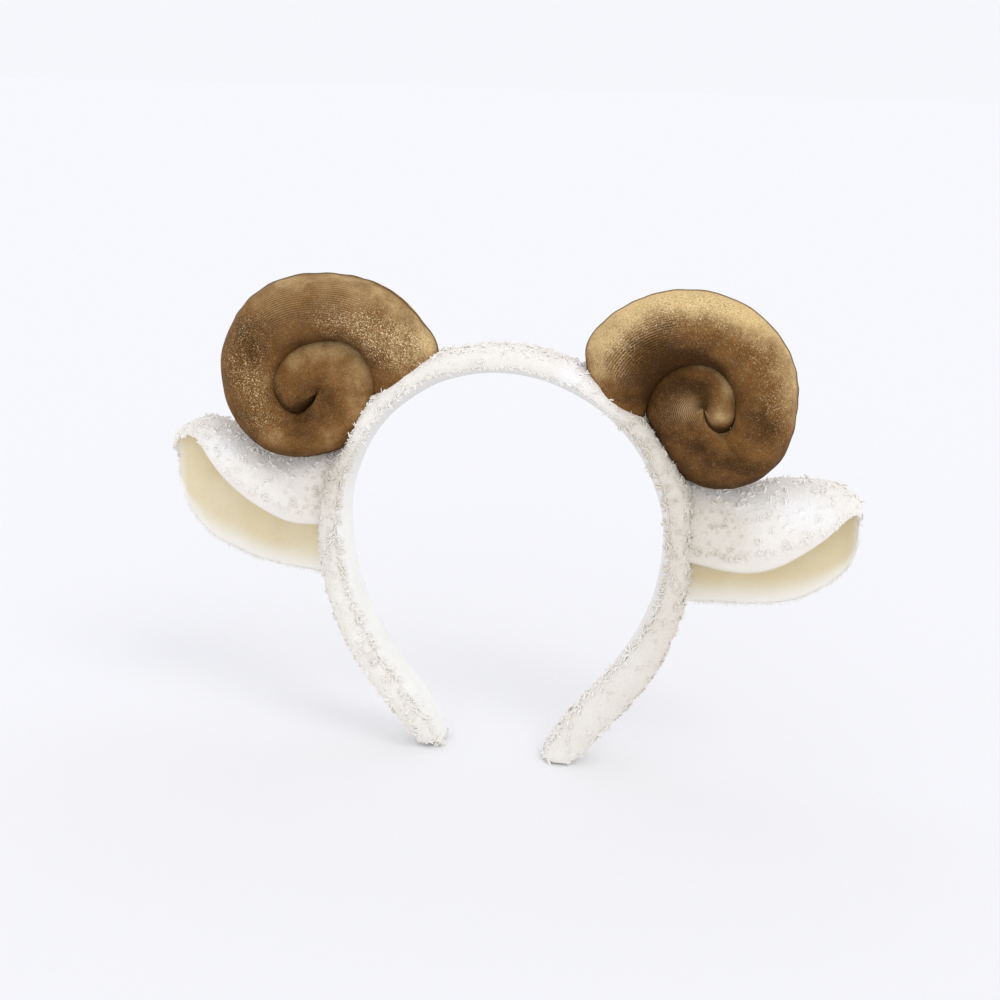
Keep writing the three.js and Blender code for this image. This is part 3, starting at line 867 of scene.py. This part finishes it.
def seamCurls(front, dice):
    length = np.arange(-liningEnd, liningEnd, seamSize["step"])
    count = len(length)
    length = length + dice.uniform(-seamSize["jitter"], seamSize["jitter"], count)
    # a few degrees from the seam, on the plush, and leaning over it towards the lining
    if front:
        turn = frontSeam(length) + 3 + dice.uniform(-3, 6, count)
        lean, size = -3, 1
    else:
        turn = bandSize["backSeam"] - 3 - dice.uniform(3, 9, count)
        lean, size = 3, seamSize["backSize"]
    skin = np.full_like(length, bandSize["skinInset"])
    roots = hoopPoint(length, turn, skin)
    normals = unit(hoopPoint(length, turn, skin - 1) - roots)
    over = hoopPoint(length, turn + lean, skin) - roots
    ways = alongCloth(unit(over) + seamSize["stray"] * dice.normal(size=roots.shape), normals)
    sizes = dice.uniform(*seamSize["sizes"], count) * size
    sizes = sizes * np.interp(np.abs(length) / archLength, (0.3, 1.0),
                              (seamSize["crownSize"], seamSize["legSize"]))
    return bunches("curl", roots, normals, ways, sizes, dice)


# how curly the pile is: all of it behind, less where it faces the front
def brushed(normals, curly):
    facing = np.clip(-1.6 * normals[:, 1] - 0.3, 0, 1)
    return 1 + (curly - 1) * facing


# short nap all over, curls side by side on it, and wisps here and there
def plushGroups(roots, normals, curly, wisps, dice):
    ways = alongCloth(dice.normal(size=roots.shape), normals)
    groups = [lockGroup("nap", roots, normals, ways, (1 + curly) / 2)]
    for kind, some in (("curl", evenSpots(roots, pileSize["curlGap"])),
                       ("wisp", dice.choice(len(roots), wisps, replace=False))):
        some = some[dice.random(len(some)) < curly[some] ** 2]
        groups.append(bunches(kind, roots[some], normals[some], ways[some],
                              dice.uniform(*pileSize["curlSizes"], len(some)), dice))
    return groups


def growBandPile(dice):
    roots, normals, uv = spotsOn(bandSkin, pileSize["bandSpots"], dice)
    keep = onPlush(halfLength * (2 * uv[:, 1] - 1), 360 * uv[:, 0] - 180)
    keep &= (roots[:, 2] > pileSize["soleHeight"]) | (normals[:, 2] > -0.4)
    keep &= clearOfHorns(roots + normals * pileSize["hornLift"])
    roots, normals = roots[keep], normals[keep]
    left, right = alongTable(pileSize["bandCurly"], roots[:, 2])
    curly = brushed(normals, np.where(roots[:, 0] > 0, right, left))
    groups = plushGroups(roots, normals, curly, pileSize["bandWisps"], dice)
    groups += [seamCurls(True, dice), seamCurls(False, dice)]
    groups = [chosen(group, clearOfHorns(group["roots"])) for group in groups]
    made = []
    for name, side, front in (("bandPileFrontLeft", -1, True), ("bandPileFrontRight", 1, True),
                              ("bandPileBackLeft", -1, False), ("bandPileBackRight", 1, False)):
        quarter = [chosen(group, ((group["roots"][:, 1] < 0) == front)
                          & (group["roots"][:, 0] * side > 0)) for group in groups]
        made.append(growPile(name, quarter, dice))
    return made


# short fringe over the lining's free edge
def earFringe(shape, dice):
    count = pileSize["fringeLocks"]
    surface = earSurface(shape, -earSize["liningThick"])
    nothing = np.zeros(count)
    alongBack, acrossTip = dice.uniform(0.1, 1, count), dice.uniform(0.02, 1, count)
    groups = []
    for across, along, acrossIn, alongIn in ((nothing + 1, alongBack, nothing + 0.97, alongBack),
                                             (acrossTip, nothing + 1, acrossTip, nothing + 0.96)):
        roots = surface(across, along)
        out = unit(roots - surface(acrossIn, alongIn))
        roots = roots - dice.uniform(0, pileSize["fringeDepth"], count)[:, None] * out
        forwards = unit(dice.normal(size=out.shape)) + np.array(pileSize["fringeWay"])
        groups.append(lockGroup("fringe", roots, out, alongCloth(forwards, out), np.ones(count)))
    return groups


# nap over the strip of lining outside the plush's free edge
def hemPile(shape, dice):
    count = pileSize["hemLocks"]
    along, edge = dice.random(count), np.ones(count)
    surface = earSurface(shape, earSize["gap"])
    roots = surface(edge, along)
    out = unit(roots - surface(edge - 0.03, along))
    normals = unit(roots - earSurface(shape, 0)(edge, along))
    roots = roots - dice.uniform(*pileSize["hemDepth"], count)[:, None] * out
    ways = alongCloth(out + pileSize["hemStray"] * dice.normal(size=out.shape), normals)
    return lockGroup("nap", roots, normals, ways, np.full(count, pileSize["hemSize"]))


# a row of curls where the ear's pile starts beside its smooth front edge
rimSize = {
    "from": 0.06,  # as shares of the ear's length
    "to": 0.86,
    "step": 0.022,
    "jitter": 0.008,
    "width": 1.6,
    "sizes": (0.5, 0.9),
}


def rimCurls(shape, dice):
    along = np.arange(rimSize["from"], rimSize["to"], rimSize["step"])
    along = along + dice.uniform(-rimSize["jitter"], rimSize["jitter"], len(along))
    inFromEdge = earSize["bareRim"] + dice.uniform(0, rimSize["width"], len(along))
    across = inFromEdge / (2 * earSize["rimReach"])
    surface = earSurface(shape, earSize["gap"] + earSize["plushThick"])
    roots = surface(across, along)
    normals = unit(roots - earSurface(shape, 0)(across, along))
    over = surface(across - 0.02, along) - roots
    ways = alongCloth(over + dice.normal(size=roots.shape), normals)
    return bunches("curl", roots, normals, ways, dice.uniform(*rimSize["sizes"], len(along)), dice)


def growEarPile(name, plush, dice):
    shape = earShapes[name]
    roots, normals, uv = spotsOn(plush, pileSize["earSpots"], dice)
    # keep the outer face, and leave the turned front edge smooth, with a wavy border
    fromFold = 2 * uv[:, 0] - 1
    inner = earLine(alongTable(shape["sections"], np.abs(roots[:, 0])), np.clip(fromFold, -1, 1))
    outer = ((roots[:, 1:] - inner) * normals[:, 1:]).sum(1) > 0.75
    bareRim = earSize["bareRim"] * (0.7 + 0.5 * np.sin(roots[:, 0] * 0.9) ** 2)
    keep = outer & ((fromFold > 0) | ((1 + fromFold) * earSize["rimReach"] > bareRim))
    keep &= clearOfHorns(roots + normals * pileSize["hornLift"])
    roots, normals = roots[keep], normals[keep]
    curly = brushed(normals, pileSize["earCurly"])
    groups = plushGroups(roots, normals, curly, pileSize["earWisps"], dice)
    groups = [chosen(group, clearOfHorns(group["roots"])) for group in groups]
    groups += [rimCurls(shape, dice), hemPile(shape, dice), *earFringe(shape, dice)]
    return growPile(name + "Pile", groups, dice)


pileDice = np.random.default_rng(17)
bandPile = growBandPile(pileDice)
earPile = {name: growEarPile(name, pair[0], pileDice) for name, pair in earPieces.items()}


# finishes

velvetLook = {
    # painted shade colour where the nap is dark, also used for the darker seam
    "deep": (0.050, 0.021, 0.006),
    "body": (0.212, 0.094, 0.0235),
    # painted highlight colour where the nap faces the light
    "paintedHighlight": (0.80, 0.57, 0.265),
    "glint": (0.98, 0.79, 0.46),
    "dimGlint": (0.50, 0.27, 0.075),  # painted glint colour where the nap has painted shade
    "crushSize": 8.0,
    "fibreSize": 0.75,
    "glintSize": 0.46,
    "clusterSize": 2.6,  # glints gather in clusters
    "ribs": 96,  # knit ribs around the tube
    "lightWay": (0.2, 0.02, 0.98),  # painted light and shade: points facing this way get the lighter nap, points facing away the darker
    "most": 1.4,  # strongest that glints and ribs may get in front
    "backGlint": 0.45,  # behind, glints and ribs take turns in large patches
    "backRib": 0.5,
    "backPatch": 30,
}

# the nap's range from painted shade to painted light, and places on a horn's front as x, z, radius
# and strength: where painted light (above nought) and painted shade (below nought) go on the nap,
# where painted glints go and where its ribs show
hornMarks = {
    "hornLeft": {
        "nap": (0.12, 0.80),
        "paintedShading": [
            (-28, 165, 9, 0.22), (-40, 163, 9, 0.1), (-48, 169, 8, 0.05), (-84, 165, 8, 0.1),
            (-86, 157, 6, 0.15), (-56, 150, 9, 0.16), (-54, 141, 8, 0.12), (-60, 135, 8, 0.12),
            (-70, 127, 9, 0.2), (-88, 128, 7, 0.12), (-72, 158, 8, 0.08), (-94, 140, 7, -0.15),
            (-84, 135, 7, -0.25), (-68, 181, 9, -0.15), (-52, 182, 8, -0.06), (-104, 165, 8, -0.2),
            (-98, 171, 8, -0.1), (-90, 174, 7, -0.1), (-70, 142, 7, -0.25), (-78, 135, 6, -0.15),
            (-70, 126, 8, 0.1), (-86, 128, 6, 0.12), (-40, 158, 6, 0.12), (-108, 143, 6, 0.13),
            (-100, 159, 6, -0.1), (-84, 151, 6, -0.14), (-44, 175, 6, -0.06), (-82, 136, 6, -0.1),
            (-80, 174, 8, 0.05), (-66, 174, 8, 0.08), (-54, 174, 7, 0.08), (-44, 182, 7, 0.08),
            (-28, 167, 6, 0.1), (-92, 151, 5, 0.16), (-84, 143, 5, 0.15), (-92, 128, 6, 0.12),
        ],
        "glints": [
            (-56, 173, 8, 1.2), (-46, 170, 8, 1.2), (-36, 166, 8, 1.1), (-67, 175, 6, 0.9),
            (-101, 168, 8, 0.7), (-99, 150, 7, 0.7), (-96, 138, 8, 0.55), (-104, 158, 7, 0.7),
        ],
        "ribs": [
            (-62, 186, 12, 0.7), (-88, 182, 10, 0.7),
        ],
    },
    "hornRight": {
        "nap": (-0.12, 1.16),
        "paintedShading": [
            (51, 187, 10, 0.22), (37, 173, 9, 0.28), (35, 162, 9, 0.2), (70, 192, 10, 0.3),
            (88, 189, 9, 0.22), (99, 178, 9, 0.08), (57, 173, 9, -0.12), (57, 162, 9, -0.15),
            (48, 158, 7, -0.12), (64, 162, 8, -0.2), (72, 161, 8, -0.3), (79, 160, 7, -0.15),
            (57, 153, 6, -0.12), (72, 143, 8, -0.2), (81, 138, 8, -0.3), (87, 133, 8, -0.08),
            (101, 145, 9, -0.22), (104, 160, 8, -0.1), (76, 126, 8, 0.12), (80, 147, 5, 0.36),
            (62, 182, 7, -0.2), (74, 183, 7, -0.22), (84, 181, 6, -0.12), (97, 174, 8, -0.2),
            (104, 168, 7, -0.12), (50, 176, 7, -0.2), (42, 169, 6, -0.12), (74, 146, 5, -0.15),
            (57, 184, 6, -0.14), (64, 184, 6, -0.1), (72, 184, 6, -0.08), (57, 176, 6, -0.16),
            (50, 168, 6, -0.14), (57, 168, 5, -0.1), (35, 161, 6, 0.2), (75, 161, 6, -0.14),
            (86, 161, 5, 0.18), (57, 153, 5, -0.1), (86, 146, 5, 0.24), (101, 146, 6, -0.1),
            (79, 168, 5, 0.16), (93, 176, 6, -0.12), (64, 161, 6, -0.18), (86, 137, 6, -0.14),
            (78, 138, 5, -0.1), (90, 131, 6, -0.1), (88, 124, 6, 0.24), (57, 176, 8, 0.05),
            (68, 176, 8, 0.1), (78, 172, 8, 0.12), (86, 167, 7, 0.1), (96, 167, 7, 0.08),
            (104, 167, 7, 0.1), (50, 161, 6, 0.1), (86, 160, 5, 0.1), (108, 160, 6, 0.18),
            (71, 153, 5, 0.12), (108, 152, 5, 0.1), (86, 146, 4, 0.14), (108, 146, 5, 0.16),
            (101, 135, 7, 0.12), (65, 149, 6, -0.14),
        ],
        "glints": [
            (58, 188, 8, 0.8), (70, 191, 8, 0.9), (82, 190, 8, 0.9), (98, 178, 10, 0.5),
            (40, 170, 10, 0.6), (106, 162, 9, 0.35), (47, 178, 9, 0.6), (104, 150, 8, 0.35),
        ],
        "ribs": [
            (52, 180, 9, 0.65), (62, 185, 8, 0.4), (43, 168, 8, 0.9), (70.5, 150.5, 4.2, 1.3),
            (66, 149, 4, 0.5), (80, 147, 4, 0.9),
        ],
    },
}

markDepth = 8.0  # marks fade out over this depth from front to back


# all marks together on every point, in front only
def patches(points, marks):
    front = np.clip(0.5 - points[:, 1] / markDepth, 0, 1)
    total = 0
    for x, z, radius, strength in marks:
        away = (points[:, 0] - x) ** 2 + (points[:, 2] - z) ** 2
        total = total + strength * np.exp(-away / radius ** 2)
    return front * total


# painted light and shade (nap), painted glints (glint) and rib strength on every point of a horn;
# the nap is lighter where a point faces lightWay and darker where it faces away
def markHorn(horn, marks):
    points, normals = verticesOf(horn), normalsOf(horn)
    toLight = normals @ unit(np.array(velvetLook["lightWay"]))
    nap = np.interp(toLight, (-1, 1), marks["nap"]) + patches(points, marks["paintedShading"])
    glint, rib = (np.clip(patches(points, marks[name]), 0, velvetLook["most"])
                  for name in ("glints", "ribs"))
    behind = np.clip(points[:, 1] / markDepth, 0, 1)
    loose = np.clip(0.5 + softLumps(points, velvetLook["backPatch"], 77), 0, 1)
    addValues(horn, "nap", nap)
    addValues(horn, "glint", glint + behind * velvetLook["backGlint"] * loose)
    addValues(horn, "rib", rib + behind * velvetLook["backRib"] * (1 - loose))


for name, horn in hornPieces.items():
    markHorn(horn, hornMarks[name])

# places on the plush as x, z, radius and by how much it gets painted shade, which is creamier, and,
# below nought, painted light, which is whiter
plushShadingMarks = [
    (52, 141, 14, 0.9), (63, 126, 13, 0.8), (68, 108, 15, 0.75), (72, 90, 13, 0.65),
    (70, 74, 11, 0.55), (66, 60, 11, 0.6), (-66, 116, 15, 0.9), (-67, 96, 14, 0.25),
    (-69, 78, 13, 0.3), (-64, 54, 14, 0.2), (-44, 22, 14, 0.1), (84, 106, 14, 0.85),
    (78, 96, 10, 0.4), (94, 95, 12, 0.2), (-84, 98, 13, 0.3), (-103, 112, 9, 0.1),
    (0, 168, 26, -0.6), (28, 162, 8, -0.9), (-112, 124, 10, -1.0), (114, 119, 14, -1.0),
    (0, 160, 9, 0.55), (-15, 159, 9, 0.55), (15, 159, 9, 0.5), (-28, 154, 8, 0.35),
    (62, 46, 10, 0.5), (54, 34, 10, 0.5), (45, 23, 10, 0.45), (35, 13, 9, 0.35),
    (27, 8, 9, 0.15),
]

for piece in [bandSkin, *bandPile, *earPile.values(), *(pair[0] for pair in earPieces.values())]:
    addValues(piece, "paintedPlushShading", patches(verticesOf(piece), plushShadingMarks))


def makeVelvet():
    finish, shader = newFinish("goldenVelvet", 0.6, 0.06, 0.35, (1.0, 0.62, 0.24), specular=0.08)
    look = velvetLook
    around = clothUv(finish)["X"]
    nap, glint, rib = (attribute(finish, name) for name in ("nap", "glint", "rib"))
    # crushed pile breaks the light up in soft patches
    crush = objectNoise(finish, look["crushSize"], 4, 0.6)
    # painted light level: the painted nap with crushed patches and painted glints
    paintedLight = math2(finish, "ADD", nap, ramp(finish, crush, 0.3, 0.7, -0.1, 0.1))
    paintedLight = math2(finish, "ADD", paintedLight, math2(finish, "MULTIPLY", glint, 0.1))
    # painted shade where the light level is low, painted highlight where it is high
    colour = mixColour(finish, ramp(finish, paintedLight, 0.08, 0.62), look["deep"], look["body"])
    colour = mixColour(finish, ramp(finish, paintedLight, 0.5, 1.2), colour, look["paintedHighlight"])
    # painted shade in fine gaps between the fibres, most where the pile glints
    fibre = objectNoise(finish, look["fibreSize"], 2, 0.6)
    between = math2(finish, "ADD", math2(finish, "MULTIPLY", glint, 0.22), 0.2)
    dark = math2(finish, "MULTIPLY", ramp(finish, fibre, 0.38, 0.58, 1, 0), between)
    colour = mixColour(finish, dark, colour, look["deep"])
    # painted glint colour, dimmer where the nap has painted shade
    shine = mixColour(finish, ramp(finish, nap, 0.08, 0.45), look["dimGlint"], look["glint"])
    # knit ribs run along the tube and show in places, drawn in the painted glint colour
    turns = math2(finish, "MULTIPLY", around, 2 * math.pi * look["ribs"])
    wave = ramp(finish, math2(finish, "SINE", turns, 0.0), -0.6, 1)
    ribShow = math2(finish, "MULTIPLY", wave, rib)
    colour = mixColour(finish, math2(finish, "MULTIPLY", ribShow, 0.25), colour, shine)
    # painted glints: sparkling ends of the pile
    glintNoise = objectNoise(finish, look["glintSize"], 1, 0.6)
    clusters = ramp(finish, objectNoise(finish, look["clusterSize"], 3, 0.6), 0.36, 0.62, 0.35, 1)
    spots = math2(finish, "MULTIPLY", ramp(finish, glintNoise, 0.5, 0.68), clusters)
    strength = math2(finish, "ADD", math2(finish, "MULTIPLY", glint, 0.7), 0.12)
    sparkle = math2(finish, "MULTIPLY", spots, strength)
    colour = mixColour(finish, sparkle, colour, shine)
    # the sewn edge is darker
    seamLine = ramp(finish, fromMiddle(finish, around), 0.486, 0.496, 0, 0.75)
    colour = mixColour(finish, seamLine, colour, look["deep"])
    wire(finish, colour, shader.inputs["Base Color"])
    wire(finish, ramp(finish, sparkle, 0.0, 0.6, 0.68, 0.4), shader.inputs["Roughness"])
    grain = bump(finish, glintNoise, 0.16)
    wire(finish, bump(finish, ribShow, 0.06, grain), shader.inputs["Normal"])
    return finish


plushLook = {
    "backing": (0.905, 0.87, 0.81),
    "warm": (0.93, 0.90, 0.845),
    "white": (0.95, 0.93, 0.885),
    "shade": (0.895, 0.86, 0.80),
    # painted shade colour for the shading marks
    "cream": (0.775, 0.728, 0.645),
    # painted light colour for the shading marks below nought and for the fringe
    "bright": (0.99, 0.985, 0.97),
    "rim": (0.875, 0.815, 0.76),  # smooth front edge of the ears
    "patchSize": 7.0,
    "knotSize": 0.9,
}


# painted shade, which is creamier, and painted light, which is whiter
def paintPlushShading(finish, colour):
    paintedPlushShading = attribute(finish, "paintedPlushShading")
    colour = mixColour(finish, ramp(finish, paintedPlushShading, 0.0, 1.0), colour, plushLook["cream"])
    return mixColour(finish, ramp(finish, paintedPlushShading, -1.0, 0.0, 1.0, 0.0), colour, plushLook["bright"])


def makePlushBacking():
    finish, shader = newFinish("plushBacking", 0.95, 0.2, 0.5, (1, 0.98, 0.95), specular=0.1)
    look = plushLook
    knots = objectNoise(finish, look["knotSize"], 3)
    colour = mixColour(finish, ramp(finish, knots, 0.35, 0.7), look["backing"], look["warm"])
    patch = ramp(finish, objectNoise(finish, look["patchSize"]), 0.4, 0.7, 0, 0.5)
    colour = mixColour(finish, patch, colour, look["white"])
    rim = ramp(finish, clothUv(finish)["X"], 0.03, 0.09, 0.8, 0)
    colour = mixColour(finish, rim, colour, look["rim"])
    wire(finish, paintPlushShading(finish, colour), shader.inputs["Base Color"])
    wire(finish, bump(finish, knots, 0.35), shader.inputs["Normal"])
    return finish


def makePile():
    finish, shader = newFinish("curlyPile", 0.9, 0, 0.5, (1, 1, 1), specular=0)
    look = plushLook
    rise = attribute(finish, "rise")
    patch = ramp(finish, objectNoise(finish, look["patchSize"]), 0.36, 0.66)
    fibre = mixColour(finish, patch, look["warm"], look["white"])
    # painted shade at the roots, and painted light on the fringe, which rises past one, so that it
    # is brightest
    colour = mixColour(finish, ramp(finish, rise, 0.0, 0.5, 0.45, 0.0), fibre, look["shade"])
    colour = paintPlushShading(finish, colour)
    colour = mixColour(finish, ramp(finish, rise, 1.0, 1.3), colour, look["bright"])
    wire(finish, colour, shader.inputs["Base Color"])
    return finish


liningLook = {
    "light": (0.935, 0.93, 0.89),  # painted light on the left leg
    "middle": (0.86, 0.85, 0.825),
    "shade": (0.74, 0.725, 0.695),  # painted shade over the crown, also the darker colour of the clouds and nap
    "cloudSize": 14,
    "napSize": 0.5,
}


def makeBandLining():
    finish, shader = newFinish("smoothLining", 0.8, 0.2, 0.45, (1, 0.99, 0.97), specular=0.2)
    look = liningLook
    along = clothUv(finish)["Y"]
    cloudy = ramp(finish, objectNoise(finish, look["cloudSize"], 3), 0.35, 0.7, 0, 0.25)
    nap = objectNoise(finish, look["napSize"], 2)
    # painted shade over the crown, and painted light on the left leg, less on the right
    crown = ramp(finish, fromMiddle(finish, along), 0.08, 0.26, 0.8, 0.0)
    colour = mixColour(finish, ramp(finish, along, 0.4, 0.7), look["light"], look["middle"])
    for part in (crown, cloudy, ramp(finish, nap, 0.4, 0.7, 0, 0.15)):
        colour = mixColour(finish, part, colour, look["shade"])
    wire(finish, colour, shader.inputs["Base Color"])
    wire(finish, bump(finish, nap, 0.08), shader.inputs["Normal"])
    return finish


earLook = {
    "cream": (0.81, 0.70, 0.45),
    "pale": (0.85, 0.76, 0.535),
    "edge": (0.965, 0.95, 0.90),
    "shade": (0.72, 0.605, 0.37),
    "cloudSize": 16,
    "napSize": 0.45,
}


def makeEarLining():
    finish, shader = newFinish("creamLining", 0.85, 0.15, 0.5, (1, 0.97, 0.88), specular=0.15)
    look = earLook
    cloth = clothUv(finish)
    cloudy = ramp(finish, objectNoise(finish, look["cloudSize"], 2), 0.35, 0.7)
    nap = objectNoise(finish, look["napSize"], 2)
    colour = mixColour(finish, cloudy, look["cream"], look["pale"])
    colour = mixColour(finish, ramp(finish, nap, 0.42, 0.72, 0, 0.3), colour, look["shade"])
    # paler towards the leaf's free edge and tip, where the plush shines through
    freeEdge = ramp(finish, cloth["X"], 0.935, 1.0, 0, 0.9)
    tip = ramp(finish, cloth["Y"], 0.86, 1.0, 0, 0.7)
    for part in (freeEdge, tip):
        colour = mixColour(finish, part, colour, look["edge"])
    wire(finish, colour, shader.inputs["Base Color"])
    wire(finish, bump(finish, nap, 0.09), shader.inputs["Normal"])
    return finish


velvet = makeVelvet()
plushBacking = makePlushBacking()
curlyPile = makePile()
smoothLining = makeBandLining()
creamLining = makeEarLining()
print("finishes made")


def dress(piece, finish, slot, *nodes):
    piece.data.materials.clear()
    piece.data.materials.append(finish)
    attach(piece, "root")
    if nodes:
        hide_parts(*nodes)


dress(bandSkin, plushBacking, "plush", "band_cover")
dress(bandLining, smoothLining, "band_lining", "band_lining")
for piece in bandPile:
    dress(piece, curlyPile, "plush")
for name, horn in hornPieces.items():
    dress(horn, velvet, "velvet", hornShapes[name]["node"])
for name, (plush, lining) in earPieces.items():
    dress(plush, plushBacking, "plush", earShapes[name]["node"] + "_plush")
    dress(lining, creamLining, "ear_lining", earShapes[name]["node"] + "_lining")
    dress(earPile[name], curlyPile, "plush")


# floor, light and camera

stageLook = {
    "floorRadius": 9.0,
    "floorColour": (0.911, 0.911, 0.919),
    "skyColour": (0.925, 0.93, 0.97),
    "skyStrength": 1.0,
    "keyStrength": 0.35,
    "keyAngle": 24.0,
    "keyTurn": (38.0, 14.0, 30.0),
    "fillStrength": 0.18,
    "fillAngle": 50.0,
    "fillTurn": (74.0, 0.0, 10.6),
}

startClean()
bpy.ops.mesh.primitive_circle_add(vertices=96, radius=stageLook["floorRadius"], fill_type="NGON")
floor = bpy.context.object
floor.name = "paleFloor"
floorFinish, floorShader = newFinish("paleFloor", 0.9, 0, 0.5, (1, 1, 1), specular=0)
floorShader.inputs["Base Color"].default_value = (*stageLook["floorColour"], 1)
floor.data.materials.append(floorFinish)

world = bpy.data.worlds.new("paleRoom")
world.use_nodes = True
sky = world.node_tree.nodes["Background"]
sky.inputs["Color"].default_value = (*stageLook["skyColour"], 1)
sky.inputs["Strength"].default_value = stageLook["skyStrength"]
bpy.context.scene.world = world

# a soft key from above and a weak fill from the front
for name in ("key", "fill"):
    bpy.ops.object.light_add(type="SUN", location=(0.5, -0.5, 1.5))
    light = bpy.context.object
    light.name = name + "Light"
    light.data.energy = stageLook[name + "Strength"]
    light.data.angle = math.radians(stageLook[name + "Angle"])
    light.rotation_euler = [math.radians(value) for value in stageLook[name + "Turn"]]

cameraPlace = {
    "location": (108.7, -590.1, 280.0),
    "yaw": 10.6,
    "pitch": 16.1,
    "roll": 1.5,
    "lens": 57.53,
}

yaw, pitch, roll = (math.radians(cameraPlace[name]) for name in ("yaw", "pitch", "roll"))
level = np.array([math.cos(yaw), math.sin(yaw), 0])
ahead = np.array([-math.sin(yaw), math.cos(yaw), 0])
upright = np.array([0, 0, 1])
lifted = math.sin(pitch) * ahead + math.cos(pitch) * upright
forward = math.cos(pitch) * ahead - math.sin(pitch) * upright
rightWay = math.cos(roll) * level + math.sin(roll) * lifted
upWay = -math.sin(roll) * level + math.cos(roll) * lifted
cameraData = bpy.data.cameras.new("photoCamera")
cameraData.lens = cameraPlace["lens"]
cameraData.sensor_width = 36
camera = bpy.data.objects.new("photoCamera", cameraData)
bpy.context.scene.collection.objects.link(camera)
camera.matrix_world = Matrix([
    [rightWay[i], upWay[i], -forward[i], cameraPlace["location"][i] * mm] for i in range(3)
] + [[0, 0, 0, 1]])
bpy.context.scene.camera = camera
bpy.context.scene.view_settings.view_transform = "Standard"
print("stage set")

bpy.context.view_layer.update()
